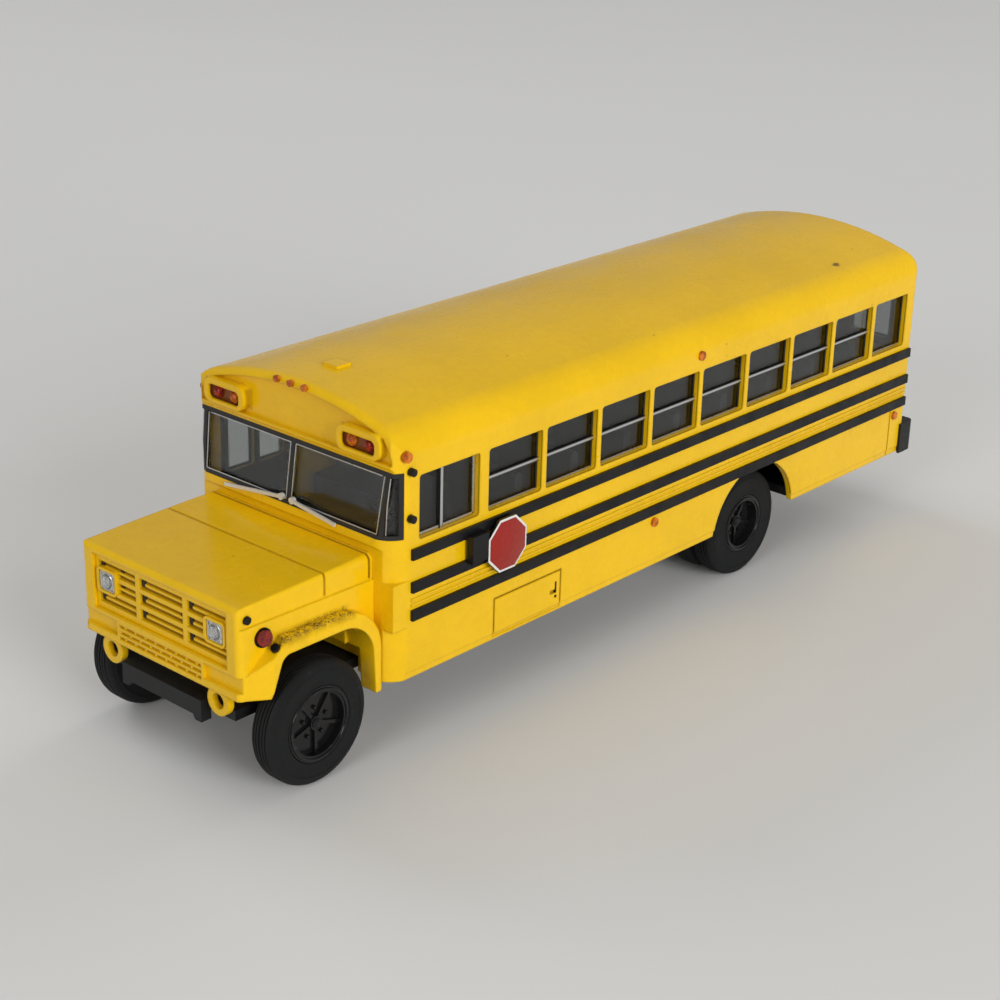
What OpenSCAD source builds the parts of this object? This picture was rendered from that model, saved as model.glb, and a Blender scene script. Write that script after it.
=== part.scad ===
// Small die-cast model of a conventional school bus: a hollow painted body, a separate nose,
// glazed windows, a seat tray, a black base and two axle sets that roll.
// +X is forward, +Y is the driver's side and +Z is up. The tyres stand on z = 0, and the
// origin lies on the ground under the middle of the whole model. All sizes are in millimetres.

/* [Body shell] */
// Width across the side panels
body_w = 32.4; // [30:0.1:35]
// Length from the rear face to the front face below the windscreen
body_len = 104.3; // [86:0.1:126]
// Height of the roof's crown above the ground
roof_z = 40.1; // [33:0.1:48]
// Height of the skirt's lower edge above the ground
skirt_z = 8.5; // [8:0.1:9.2]
// Thickness of the cast walls
wall = 0.9; // [0.7:0.05:1.1]
// Radius of the roof's crown across the body
crown_r = 46; // [40:1:60]
// Radius between the roof and the sides
cant_r = 4; // [3:0.1:5]
// Radius of the upright front corners, seen from above
corner_r = 3.2; // [2.4:0.1:3.8]
// Radius of the upright rear corners, seen from above
rear_corner_r = 0.6; // [0.3:0.05:1.5]
// Radius along the front and rear edges of the roof
roof_edge_r = 0.9; // [0.5:0.1:1.4]

/* [Side windows] */
// Height of the lower edge of the windows
sill_z = 24.9; // [24.4:0.1:25.6]
// From the window heads up to the roof's crown
roof_rise = 7.7; // [7:0.1:9]
// Width of one passenger window
window_w = 9.12; // [8:0.02:9.4]
// Width of the pillar between two windows
pillar_w = 0.74; // [0.5:0.02:1]
// Least width of the last window, behind the split ones
last_window_min = 4; // [3:0.1:6]
// Width of the driver's window
driver_window_w = 9.65; // [8:0.05:10]
// From the front face back to the driver's window
front_post = 4; // [3.6:0.1:5]
// Width of the post behind the driver's window
driver_post = 1.45; // [1:0.05:2]
// From the last window to the rear face
rear_post = 2.2; // [1.8:0.1:3]
// Radius of the window corners
window_r = 0.4; // [0.2:0.05:0.8]
// Thickness of the clear glazing
glass_t = 0.6; // [0.4:0.05:0.8]
// Height of the bright bar across a split window
sash_h = 0.5; // [0.3:0.05:0.8]

/* [Windscreen and header] */
// From the windows' lower edge down to the ledge under the windscreen
cowl_drop = 0.3; // [0.1:0.05:0.8]
// How far the ledge stands in front of the front face
cowl_out = 0.4; // [0.2:0.05:0.8]
// From the window heads up to the top of the windscreen's panel
header_gap = 1; // [0.7:0.05:1.3]
// How far the windscreen leans back from foot to head
windscreen_lean = 1.2; // [0.6:0.1:2]
// Height of the windscreen's opening above the ledge
windscreen_sill = 0.9; // [0.6:0.1:1.4]
// Width of the rubber strip round the windscreen
gasket_w = 0.5; // [0.3:0.05:0.8]
// Depth of the sign panel behind the roof's rim
header_recess = 0.6; // [0.3:0.05:0.8]
// Width of the roof's rim round the sign panel
header_rim = 0.9; // [0.6:0.05:1.3]

/* [Warning lamps] */
// From the middle to the centre of a lamp pod
pod_y = 10.8; // [10:0.1:11]
// From the windscreen's panel up to the centre of a lamp pod
pod_rise = 2.35; // [2.1:0.05:2.6]
// Width of a lamp pod
pod_w = 6.7; // [6:0.1:7]
// Height of a lamp pod
pod_h = 3; // [2.6:0.1:3.2]
// How far a lamp pod stands out of the sign panel
pod_out = 1.2; // [0.8:0.1:1.5]
// Radius of one warning lamp
lamp_r = 0.75; // [0.6:0.05:0.8]
// Distance between the two lamps of a pod
lamp_pitch = 2.7; // [2.4:0.1:3]
// Radius of the small marker lamps
marker_r = 0.6; // [0.4:0.05:0.8]

/* [Side trim] */
// Height of one rub rail
rail_h = 1.26; // [0.9:0.02:1.5]
// How far the rub rails stand out
rail_out = 0.4; // [0.2:0.05:0.6]
// From the windows' lower edge down to the middle of the upper rail
rail_drop = 1.4; // [1.2:0.05:1.7]
// From the middle of the upper rail down to the middle of the second
rail_gap = 3.9; // [3.6:0.1:4.2]
// Size of the thin ribs between the rails
rib_h = 0.3; // [0.2:0.05:0.4]
// Width and depth of the engraved lines
groove = 0.25; // [0.15:0.05:0.4]
// Width across the flats of the stop sign
sign_w = 6.4; // [5.5:0.1:7]
// Thickness of the stop sign
sign_t = 0.4; // [0.3:0.05:0.6]

/* [Nose] */
// From the body's front face to the front of the nose
nose_len = 19.15; // [18.6:0.05:20]
// Width of the nose at its front
nose_front_w = 25.9; // [25:0.1:26.6]
// Width of the nose at the body
nose_rear_w = 26.7; // [26:0.1:27.4]
// From the ledge under the windscreen down to the bonnet's rear edge
bonnet_drop = 1.05; // [0.8:0.05:1.6]
// Fall of the bonnet from its rear edge to its front
bonnet_fall = 0.55; // [0.3:0.05:1.2]
// Radius along the upper side edges of the bonnet
bonnet_r = 0.8; // [0.5:0.05:1]
// Radius along the bonnet's front edge
bonnet_edge_r = 0.6; // [0.2:0.05:0.8]
// Radius of the nose's upright front corners
nose_corner_r = 0.8; // [0.4:0.05:1.1]
// Height of the panel below the grille
valance_h = 3.2; // [2.9:0.1:3.6]
// Width across the front wings
wing_w = 29.4; // [28.8:0.1:30]
// From the top of the front arch up to the ridge of the wing
wing_rise = 1.7; // [1.4:0.1:2.2]
// Radius along the wing's ridge
wing_r = 1.3; // [0.8:0.05:1.3]
// Clearance over the front wheel
arch_clear = 2.42; // [2:0.02:2.8]

/* [Grille] */
// Half the width of the grille's opening
grille_y = 11; // [10.6:0.1:11.2]
// From the bonnet's front edge down to the grille's opening
grille_drop = 0.9; // [0.7:0.05:1.2]
// Height of the grille's opening
grille_h = 6.5; // [6.2:0.05:6.8]
// Depth of the grille panel behind the nose's front
grille_depth = 0.45; // [0.3:0.05:0.6]
// From the middle to the upright bars of the grille
grille_bar_y = 3.9; // [3.5:0.1:4.2]
// Number of slots one above the other
grille_rows = 3; // [2:1:4]
// Width of a headlamp's glass
headlamp_w = 2.7; // [2.4:0.1:3]
// Height of a headlamp's glass
headlamp_h = 2.3; // [2:0.1:2.6]
// From the middle to a headlamp
headlamp_y = 8.9; // [8.6:0.05:9]
// From the grille's lower edge up to the middle of the headlamps
headlamp_rise = 3.6; // [3.2:0.05:3.8]

/* [Wheels] */
// Diameter over the tread
wheel_d = 14.48; // [13.6:0.02:14.8]
// Diameter of the front wheels' rims
front_rim_d = 8.8; // [8:0.1:9.4]
// Diameter of the rear wheels' rims
rear_rim_d = 7.8; // [7.2:0.1:8.4]
// Width of one tyre
tyre_w = 3.4; // [3:0.05:3.6]
// Radius of a tyre's shoulders
shoulder_r = 0.8; // [0.5:0.05:1]
// From the nose's front to the front axle
front_overhang = 9.25; // [9:0.05:9.6]
// From the front axle to the rear axle
wheelbase = 77.8; // [76.5:0.1:79]
// Radius of the rear wheel arches
rear_arch_r = 9; // [8.6:0.1:9.4]
// From the middle to the middle of a front tyre
front_track_y = 13.4; // [13.2:0.05:13.6]
// From the middle to the middle of an inner rear tyre
inner_track_y = 9; // [8.9:0.05:9.2]
// Distance between the middles of twin rear tyres
twin_pitch = 3.95; // [3.85:0.05:4.2]
// Diameter of the steel axles
axle_d = 2; // [1.6:0.05:2.4]
// Radial play of an axle in its bearing
axle_play = 0.05; // [0.02:0.01:0.08]
// Clearance round parts that are pressed together
press_gap = 0.02; // [0.01:0.01:0.04]

/* [Base and cabin] */
// Thickness of the base plate
base_t = 1.2; // [0.9:0.1:1.4]
// Clearance between the base and the body's walls
base_gap = 0.1; // [0.05:0.05:0.2]
// From the skirt's lower edge up to the seat tray's floor
floor_rise = 8.9; // [8.7:0.1:9.3]
// Height of the seat backs above the floor
seat_h = 9.8; // [8.8:0.1:10.2]
// Diameter of the screw holes for a display stand
stand_hole_d = 2.5; // [2:0.1:3]
// From an axle to the nearest stand screw
boss_setback = 8.9; // [7:0.1:16]
// Height of the rear bumper
bumper_h = 4.4; // [3.8:0.1:4.8]
// How far the rear bumper stands out behind the body
bumper_out = 2.3; // [1.6:0.1:2.6]
// How far the rear bumper laps over the sides
bumper_lap = 1.1; // [0.8:0.1:2]

/* [Hidden] */
$fn = 64;

school_yellow = [0.91, 0.66, 0.06];
satin_black = [0.06, 0.06, 0.065];
clear_grey = [0.5, 0.55, 0.56, 0.45];
bright_silver = [0.75, 0.76, 0.77];
lamp_red = [0.6, 0.06, 0.06];
lamp_amber = [0.9, 0.42, 0.06];
tray_grey = [0.25, 0.26, 0.27];
tyre_black = [0.09, 0.09, 0.095];

// Places along the model, from the middle of its whole length
nose_x = (bumper_out + body_len + nose_len) / 2;
face_x = nose_x - nose_len;
rear_x = face_x - body_len;
cowl_x = face_x + cowl_out;
windscreen_top_x = cowl_x - windscreen_lean;
header_x = face_x - 0.5;
front_axle_x = nose_x - front_overhang;
rear_axle_x = front_axle_x - wheelbase;
wheel_r = wheel_d / 2;
side_y = body_w / 2;
inner_y = side_y - wall;
rail_y = side_y + rail_out;

// Row of side windows
window_pitch = window_w + pillar_w;
driver_front_x = face_x - front_post;
driver_rear_x = driver_front_x - driver_window_w;
row_x = driver_rear_x - driver_post;
last_rear_x = rear_x + rear_post;
sash_windows = floor((row_x - last_rear_x - last_window_min) / window_pitch);
last_front_x = row_x - sash_windows * window_pitch;
head_z = roof_z - roof_rise;
window_h = head_z - sill_z;
sash_z = sill_z + window_h / 2;
pane_r = min(window_r, 0.45 * window_h);

// Heights of the front, from the windows down to the nose's lower edge
header_z = head_z + header_gap;
pod_z = header_z + pod_rise;
cowl_z = sill_z - cowl_drop;
bonnet_rear_z = cowl_z - bonnet_drop;
bonnet_front_z = bonnet_rear_z - bonnet_fall;
grille_top_z = bonnet_front_z - grille_drop;
grille_low_z = grille_top_z - grille_h;
headlamp_z = grille_low_z + headlamp_rise;
valance_z = grille_low_z - valance_h;
arch_top_z = wheel_d + arch_clear;
wing_top_z = arch_top_z + wing_rise;
floor_z = skirt_z + floor_rise;

// Base, tray and running gear
base_top_z = skirt_z + 1.6;
base_low_z = base_top_z - base_t;
base_y = inner_y - base_gap;
tray_t = 0.8;
axle_r = axle_d / 2;
bore_r = axle_r + axle_play;
well_y = inner_track_y - tyre_w / 2 - 0.4;
front_gap_y = front_track_y - tyre_w / 2 - 1.2;
well_r = rear_arch_r - 0.2;
stand_pitch = wheelbase - 2 * boss_setback;
rail_top_z = sill_z - rail_drop;
rail_mid_z = rail_top_z - rail_gap;
rail_low_z = wheel_r + rear_arch_r;
// Heights of the rub rails, from the top down
rail_heights = [rail_top_z, rail_mid_z, rail_low_z];

module along_x(x0, x1) {
    translate([x0, 0, 0]) rotate([90, 0, 90]) linear_extrude(x1 - x0) children();
}

module along_y(y0, y1) {
    translate([0, y1, 0]) rotate([90, 0, 0]) linear_extrude(y1 - y0) children();
}

module along_z(z0, z1) {
    translate([0, 0, z0]) linear_extrude(z1 - z0) children();
}

module block(low, high) {
    translate(low) cube(high - low);
}

module both_sides() {
    children();
    mirror([0, 1, 0]) children();
}

module round_rect(w, h, r) {
    square([w - 2 * r, h], center = true);
    square([w, h - 2 * r], center = true);
    for (sx = [-1, 1], sy = [-1, 1])
        translate([sx * (w / 2 - r), sy * (h / 2 - r)]) circle(r);
}

// Rounded rectangle between two corners
module pane(low, high, r) {
    translate((low + high) / 2) round_rect(high[0] - low[0], high[1] - low[1], r);
}

// Cross-section of the body, drawn smaller all round by inset
module body_section(inset) {
    w = side_y - inset;
    r = cant_r - inset;
    crown = crown_r - inset;
    centre_z = roof_z - crown_r;
    cant_y = w - r;
    cant_z = centre_z + sqrt(pow(crown - r, 2) - pow(cant_y, 2));
    reach = 1.2;
    foot = 1 - r / (cant_z - centre_z);
    translate([-w, 0]) square([2 * w, cant_z]);
    for (s = [-1, 1]) translate([s * cant_y, cant_z]) circle(r);
    intersection() {
        translate([0, centre_z]) circle(crown);
        polygon([
            [-cant_y * foot, cant_z - r],
            [cant_y * foot, cant_z - r],
            [cant_y * reach, centre_z + (cant_z - centre_z) * reach],
            [-cant_y * reach, centre_z + (cant_z - centre_z) * reach]
        ]);
    }
}

// Outline from above: small radii at the rear corners, large ones at the front
module body_plan(inset) {
    y = side_y - inset;
    middle_x = (rear_x + cowl_x) / 2;
    pane([rear_x + inset, -y], [middle_x, y], max(rear_corner_r - inset, 0.1));
    pane([middle_x - body_w / 2, -y], [cowl_x - inset, y], corner_r - inset);
}

module body_profile(inset, low_z) {
    polygon([
        [rear_x + inset, low_z],
        [face_x - inset, low_z],
        [face_x - inset, cowl_z - cowl_out],
        [cowl_x - inset, cowl_z],
        [windscreen_top_x - inset, header_z],
        [header_x - inset, header_z + 0.3],
        [header_x - inset, roof_z + 1],
        [rear_x + inset, roof_z + 1]
    ]);
}

// Body of the roof's radius that rounds the front and rear edges of the roof
module roof_drum(inset) {
    r = crown_r - inset;
    e = roof_edge_r;
    x0 = rear_x + inset;
    x1 = header_x - inset;
    translate([0, 0, roof_z - crown_r]) rotate([0, 90, 0]) rotate_extrude($fn = 128) {
        translate([0, x0 - e]) square([r - e, x1 - x0 + 3 * e]);
        translate([0, x0 + e]) square([r, x1 - x0 - 2 * e]);
        for (x = [x0 + e, x1 - e]) translate([r - e, x]) circle(e);
    }
}

module body_envelope(inset, low_z) {
    intersection() {
        along_x(rear_x - 1, nose_x) body_section(inset);
        along_z(0, roof_z + 1) body_plan(inset);
        along_y(-body_w, body_w) body_profile(inset, low_z);
    }
}

// Side windows of one side as [rear edge, front edge]
function window_spans() = concat(
    [for (k = [0:sash_windows - 1]) [row_x - k * window_pitch - window_w, row_x - k * window_pitch]],
    [[last_rear_x, last_front_x]]
);

module window_cut(span) {
    along_y(inner_y - 1, side_y + 1) pane([span[0], sill_z], [span[1], head_z], pane_r);
}

// Two-leaf entrance door on the kerb side: its leaves are cast in, and their panes are cut
door_front_x = driver_front_x;
door_rear_x = driver_rear_x;
door_low_z = skirt_z + 1.4;
door_bar = 0.9;
door_mid_z = sill_z - 6.7;

module door_panes() {
    leaf = (door_front_x - door_rear_x) / 2;
    for (k = [0, 1]) {
        x0 = door_rear_x + k * leaf + door_bar / 2;
        x1 = door_rear_x + (k + 1) * leaf - door_bar / 2;
        along_y(inner_y - 1, side_y + 1) {
            pane([x0, sill_z - 1], [x1, head_z], pane_r);
            pane([x0, door_low_z + door_bar], [x1, door_mid_z], pane_r);
        }
    }
}

module door_grooves() {
    for (x = [door_rear_x - 0.4, (door_front_x + door_rear_x) / 2, door_front_x + 0.4])
        block([x - groove / 2, side_y - groove, door_low_z], [x + groove / 2, side_y + 1, head_z + 0.5]);
}

// Rear face: emergency door in the middle and one fixed window on either side
rear_door_y = 5.2;
rear_window_y = 12.6;
rear_pane_z = sill_z - 9.7;
rear_pane_h = 5;

module rear_cuts() {
    along_x(rear_x - 1, rear_x + wall + 1) {
        pane([-rear_door_y + 1, sill_z - 0.6], [rear_door_y - 1, head_z], pane_r);
        pane([-rear_door_y + 1, rear_pane_z], [rear_door_y - 1, rear_pane_z + rear_pane_h], pane_r);
        for (s = [-1, 1])
            translate([s * (rear_door_y + 1 + rear_window_y) / 2, (sill_z + head_z) / 2])
                round_rect(rear_window_y - rear_door_y - 1, window_h, pane_r);
    }
    for (s = [-1, 1])
        block([rear_x - 1, s * rear_door_y - groove / 2, bumper_h + skirt_z],
            [rear_x + groove, s * rear_door_y + groove / 2, head_z + 0.8]);
    block([rear_x - 1, -rear_door_y, head_z + 0.8 - groove], [rear_x + groove, rear_door_y, head_z + 0.8]);
}

// Engraved luggage hatch in the driver's side skirt, with its latch
hatch_front_x = face_x - 16.4;
hatch_w = 12;
hatch_h = 5;

module hatch_grooves() {
    difference() {
        block([hatch_front_x - hatch_w, side_y - groove, skirt_z + 0.3],
            [hatch_front_x, side_y + 1, skirt_z + 0.3 + hatch_h]);
        block([hatch_front_x - hatch_w + groove, 0, skirt_z + 0.3 + groove],
            [hatch_front_x - groove, side_y + 2, skirt_z + 0.3 + hatch_h - groove]);
    }
    block([hatch_front_x - hatch_w + 1, side_y - groove, skirt_z + 2.4],
        [hatch_front_x - hatch_w + 2, side_y + 1, skirt_z + 2.9]);
}

module lamp_pod_shape(grow) {
    round_rect(pod_w + 2 * grow, pod_h + 2 * grow, 1.2 + grow);
}

pod_rim = 0.75;
pod_lip = 0.5;

// Slot under the hood of a pod, where its two lamps sit
module pod_slot() {
    pane([pod_rim - pod_w / 2, pod_lip - pod_h / 2], [pod_w / 2 - pod_rim, pod_h / 2 - pod_rim], 0.6);
}

header_face_x = header_x - header_recess;
pod_front_x = header_face_x + pod_out;
pod_pocket = 0.7;
rear_pod_out = 0.9;

module front_pod(y) {
    difference() {
        along_x(header_face_x - 0.2, pod_front_x) translate([y, pod_z]) lamp_pod_shape(0);
        along_x(pod_front_x - pod_pocket, pod_front_x + 1) translate([y, pod_z]) pod_slot();
    }
}

module rear_pod(y) {
    difference() {
        along_x(rear_x - rear_pod_out, rear_x + 0.2) translate([y, pod_z]) lamp_pod_shape(0);
        along_x(rear_x - 2 * rear_pod_out, rear_x - rear_pod_out + pod_pocket) translate([y, pod_z]) pod_slot();
    }
}

module header_pocket() {
    intersection() {
        along_x(header_face_x, header_x + 2) body_section(header_rim);
        block([header_face_x, -side_y, header_z + 0.6], [header_x + 2, side_y, roof_z]);
    }
}

screen_rear_x = driver_front_x + 2.2;

module windscreen_opening() {
    block([screen_rear_x, -body_w, cowl_z + windscreen_sill], [nose_x, body_w, header_z - 0.2]);
}

// Small vent on the roof, and the square box on the driver's front corner
vent_x = face_x - 6.2;
vent_w = 2.3;
vent_h = 0.35;
box_w = 2.7;
box_lap = 1.35;
box_rise = 0.9;
rail_front_x = face_x - box_w - press_gap;
rail_rear_x = rear_x + rear_corner_r;
rib_heights = [rail_mid_z - 1.54, rail_mid_z - 2.15];

// Round studs seated in the side walls: mirror pegs and corner marker lamps
stud_depth = 0.5;
peg_r = 0.45;
peg_out = 0.6;
peg_x = cowl_x - corner_r + 0.2;
peg_heights = [header_z - 0.2, sill_z + 2.9];
corner_marker_x = peg_x + 0.6;
corner_marker_z = header_z + 1.6;

module side_stud(x, z, r, out) {
    translate([x, side_y - stud_depth, z]) rotate([-90, 0, 0]) cylinder(r = r, h = stud_depth + out);
}

module body_casting() {
    color(school_yellow) {
        difference() {
            union() {
                intersection() {
                    body_envelope(0, skirt_z);
                    roof_drum(0);
                }
                both_sides() for (z = rib_heights)
                    block([rail_rear_x, side_y - 0.1, z - rib_h / 2], [rail_front_x, side_y + rib_h / 2, z + rib_h / 2]);
                block([vent_x - vent_w, -vent_w / 2, roof_z - wall], [vent_x, vent_w / 2, roof_z + vent_h]);
                block([face_x - box_w, side_y - corner_r, rail_low_z - box_lap],
                    [face_x - press_gap, side_y, rail_mid_z + box_rise]);
            }
            body_envelope(wall, skirt_z - 1);
            both_sides() for (span = window_spans()) window_cut(span);
            window_cut([driver_rear_x, driver_front_x]);
            mirror([0, 1, 0]) door_panes();
            mirror([0, 1, 0]) door_grooves();
            windscreen_opening();
            header_pocket();
            rear_cuts();
            hatch_grooves();
            both_sides() block([rear_x + 3.7, side_y - groove, skirt_z - 1],
                [rear_x + 3.7 + groove, side_y + 1, rail_low_z - rail_h / 2]);
            both_sides() block([rear_x - 1, side_y - 0.12, skirt_z - 1], [cowl_x + 1, side_y + 1, skirt_z + 0.8]);
            translate([rear_axle_x, 0, wheel_r]) rotate([90, 0, 0])
                cylinder(r = rear_arch_r, h = 2 * body_w, center = true);
            block([face_x - 2 * wall, -front_gap_y - 0.3, 0], [nose_x, front_gap_y + 0.3, base_top_z + 0.3]);
            both_sides() for (z = peg_heights) side_stud(peg_x, z, peg_r + press_gap, 1);
            both_sides() side_stud(corner_marker_x, corner_marker_z, marker_r + press_gap, 1);
        }
        for (s = [-1, 1]) front_pod(s * pod_y);
        for (s = [-1, 1]) rear_pod(s * pod_y);
    }
}

// Black rub rails along both sides, stopping at the entrance door on the kerb side
module rub_rails() {
    color(satin_black) for (z = rail_heights) {
        block([rail_rear_x, side_y, z - rail_h / 2], [rail_front_x, rail_y, z + rail_h / 2]);
        block([rail_rear_x, -rail_y, z - rail_h / 2], [door_rear_x - 0.8, -side_y, z + rail_h / 2]);
    }
}

// Nose: bonnet, cowl and front wings in one casting
neck_x = face_x + 0.8;
seam_x = face_x + 6.9;
wing_y = wing_w / 2;
nose_half = nose_rear_w / 2;
nose_taper = atan((nose_rear_w - nose_front_w) / 2 / nose_len);
function nose_y(x) = nose_half - tan(nose_taper) * (x - face_x);
ledge_z = bonnet_front_z - 2.4;
ledge_in = 0.25;

module nose_plan(inset) {
    r = max(nose_corner_r - inset, 0.1);
    x = nose_x - inset;
    y = nose_y(nose_x) - inset;
    polygon([
        [face_x, nose_half - inset],
        [x - r, y],
        [x, y - r],
        [x, r - y],
        [x - r, -y],
        [face_x, inset - nose_half]
    ]);
    for (s = [-1, 1]) translate([x - r, s * (y - r)]) circle(r);
}

module nose_profile(inset, low_z) {
    r = max(bonnet_edge_r - inset, 0.1);
    x = nose_x - inset;
    z = bonnet_front_z - inset;
    polygon([
        [face_x, low_z],
        [x, low_z],
        [x, z - r],
        [x - r, z],
        [face_x, bonnet_rear_z - inset]
    ]);
    translate([x - r, z - r]) circle(r);
}

// One tapering flank of the bonnet, a little wider below its ledge
module nose_flank() {
    far = 3 * nose_half;
    translate([face_x, nose_half, 0]) rotate([0, 0, -nose_taper]) along_x(-1, nose_len + 2) {
        translate([-far, 0]) square([far + ledge_in, ledge_z]);
        pane([-far, 0], [-ledge_in, bonnet_rear_z], bonnet_r);
    }
}

// Outline of the open front arch, seen from the side
arch_rear_r = 4.6;
arch_front_r = 1.4;
arch_rear_x = front_axle_x - 8.6;
arch_front_x = front_axle_x + 6.3;
arch_corner_x = front_axle_x + 4.6;
arch_foot = 0.3;

module front_arch() {
    slope = atan2(arch_front_x - arch_corner_x, arch_top_z - valance_z);
    t = arch_front_r / tan(45 + slope / 2);
    polygon([
        [arch_rear_x - arch_foot, 0],
        [arch_front_x + 2 * arch_foot, 0],
        [arch_front_x, valance_z],
        [arch_corner_x + t * sin(slope), arch_top_z - t * cos(slope)],
        [arch_corner_x - t, arch_top_z],
        [arch_rear_x + arch_rear_r, arch_top_z],
        [arch_rear_x, arch_top_z - arch_rear_r],
        [arch_rear_x - arch_foot, wheel_r]
    ]);
    translate([arch_rear_x + arch_rear_r, arch_top_z - arch_rear_r]) circle(arch_rear_r);
    translate([arch_corner_x - t, arch_top_z - arch_front_r]) circle(arch_front_r);
}

// Outline of a wing from the side, before the arch is cut: its front slopes down to the valance
wing_lip = 1.1;
wing_crest_x = nose_x - 5.2;
wing_front_z = valance_z + 2.1;
wing_foot_z = wheel_r + 0.36;

module wing_outline() {
    x0 = arch_rear_x - wing_lip;
    r = arch_rear_r + wing_lip;
    polygon([
        [x0, wing_foot_z],
        [nose_x, wing_foot_z],
        [nose_x, wing_front_z],
        [wing_crest_x, wing_top_z],
        [x0 + r, wing_top_z],
        [x0, wing_top_z - r]
    ]);
    translate([x0 + r, wing_top_z - r]) circle(r);
}

wing_sweep = 3.2;
wing_tuck = 0.5;

module wing() {
    difference() {
        intersection() {
            along_y(nose_y(nose_x) - 0.6, wing_y) wing_outline();
            along_x(face_x, nose_x) {
                square([wing_y - wing_r, wing_top_z]);
                square([wing_y, wing_top_z - wing_r]);
                translate([wing_y - wing_r, wing_top_z - wing_r]) circle(wing_r);
            }
            along_z(0, wing_top_z + 1) polygon([
                [face_x, 0],
                [nose_x, 0],
                [nose_x, nose_y(nose_x) - wing_tuck],
                [nose_x - wing_sweep, wing_y],
                [face_x, wing_y]
            ]);
        }
        block([arch_front_x - 1, 0, 0], [nose_x + 1, wing_y + 1, valance_z]);
    }
}

wing_lamp_x = nose_x - 3.2;
wing_lamp_z = wing_top_z + 0.4;
wing_lamp_r = 0.9;
wing_lamp_tilt = 8;

// Carries a lamp's axis to its place on a wing
module at_wing_lamp() {
    translate([wing_lamp_x, nose_y(wing_lamp_x), wing_lamp_z]) rotate([-90 + wing_lamp_tilt, 0, -wing_lamp_tilt])
        children();
}

// Pegs of the nose: one high on its side, one on the shoulder of the wing
nose_peg_x = nose_x - 1.3;
nose_peg_z = bonnet_front_z - 1.5;
wing_slope = atan2(wing_top_z - wing_front_z, nose_x - wing_crest_x);
wing_peg_x = nose_x - 4.1;
wing_peg_r = 0.5;

module nose_studs(grow, out) {
    translate([nose_peg_x, nose_y(nose_peg_x) - ledge_in - stud_depth, nose_peg_z]) rotate([-90, 0, 0])
        cylinder(r = peg_r + grow, h = stud_depth + out);
    translate([wing_peg_x, wing_y - wing_r / 2, wing_front_z + (nose_x - wing_peg_x) * tan(wing_slope)])
        rotate([0, wing_slope, 0]) translate([0, 0, -stud_depth]) cylinder(r = wing_peg_r + grow, h = stud_depth + out);
}

valance_y = 7.2;
vent_pitch = 0.7;
vent_slot = 0.36;
vent_rows = [for (k = [0:2]) valance_z + 0.8 + k * vent_pitch];
valance_step = 0.5;
apron_h = 0.9;

module nose_casting() {
    color(school_yellow) difference() {
        union() {
            intersection() {
                nose_flank();
                mirror([0, 1, 0]) nose_flank();
                along_z(valance_z, roof_z) nose_plan(0);
                along_y(-body_w, body_w) nose_profile(0, valance_z);
            }
            both_sides() wing();
        }
        // Hollow under the bonnet, open below
        intersection() {
            along_z(0, roof_z) nose_plan(wall + ledge_in);
            along_y(-body_w, body_w) nose_profile(wall, 0);
            block([neck_x + wall, -body_w, 0], [nose_x, body_w, roof_z]);
        }
        both_sides() along_y(front_gap_y, wing_y + 1) front_arch();
        // Shadow gap between the bonnet and the body, and the seam across the bonnet
        for (x = [neck_x - 0.4, seam_x])
            difference() {
                block([x, -body_w, ledge_z + ledge_in], [x + groove, body_w, roof_z]);
                block([x - 1, groove + ledge_in - nose_y(seam_x), 0],
                    [x + 1, nose_y(seam_x) - groove - ledge_in, bonnet_front_z - groove]);
            }
        // Opening for the grille panel
        block([nose_x - 2 * wall, -grille_y, grille_low_z], [nose_x + 1, grille_y, grille_top_z]);
        // Vent slots and stepped ends of the lower panel
        for (z = vent_rows)
            block([nose_x - valance_step, 0.4 - valance_y, z - vent_slot / 2],
                [nose_x + 1, valance_y - 0.4, z + vent_slot / 2]);
        both_sides() block([nose_x - valance_step, valance_y, valance_z + apron_h],
            [nose_x + 1, nose_half + 3, grille_low_z - grille_rim]);
        both_sides() nose_studs(press_gap, 1);
        both_sides() at_wing_lamp() cylinder(r = wing_lamp_r + press_gap, h = 3, center = true);
        block([face_x - 1, -front_gap_y, 0], [nose_x - wall - 1, front_gap_y, base_top_z + 0.3]);
    }
}

grille_back_x = nose_x - 2 * wall + 0.3;
grille_face_x = nose_x - grille_depth;
slot_depth = 0.45;
grille_rim = 0.5;
grille_edge_y = grille_y - press_gap;
row_pitch = (grille_top_z - grille_low_z - 2 * grille_rim) / grille_rows;
slot_h = row_pitch - 0.55;
fin_h = 0.3;

// Left and right edges of the three bays of the grille
bays = [
    [grille_rim - grille_edge_y, -grille_bar_y - 0.35],
    [0.35 - grille_bar_y, grille_bar_y - 0.35],
    [grille_bar_y + 0.35, grille_edge_y - grille_rim]
];

module headlamp_shape(grow) {
    round_rect(headlamp_w + 2 * grow, headlamp_h + 2 * grow, 0.3 + grow);
}

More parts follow.
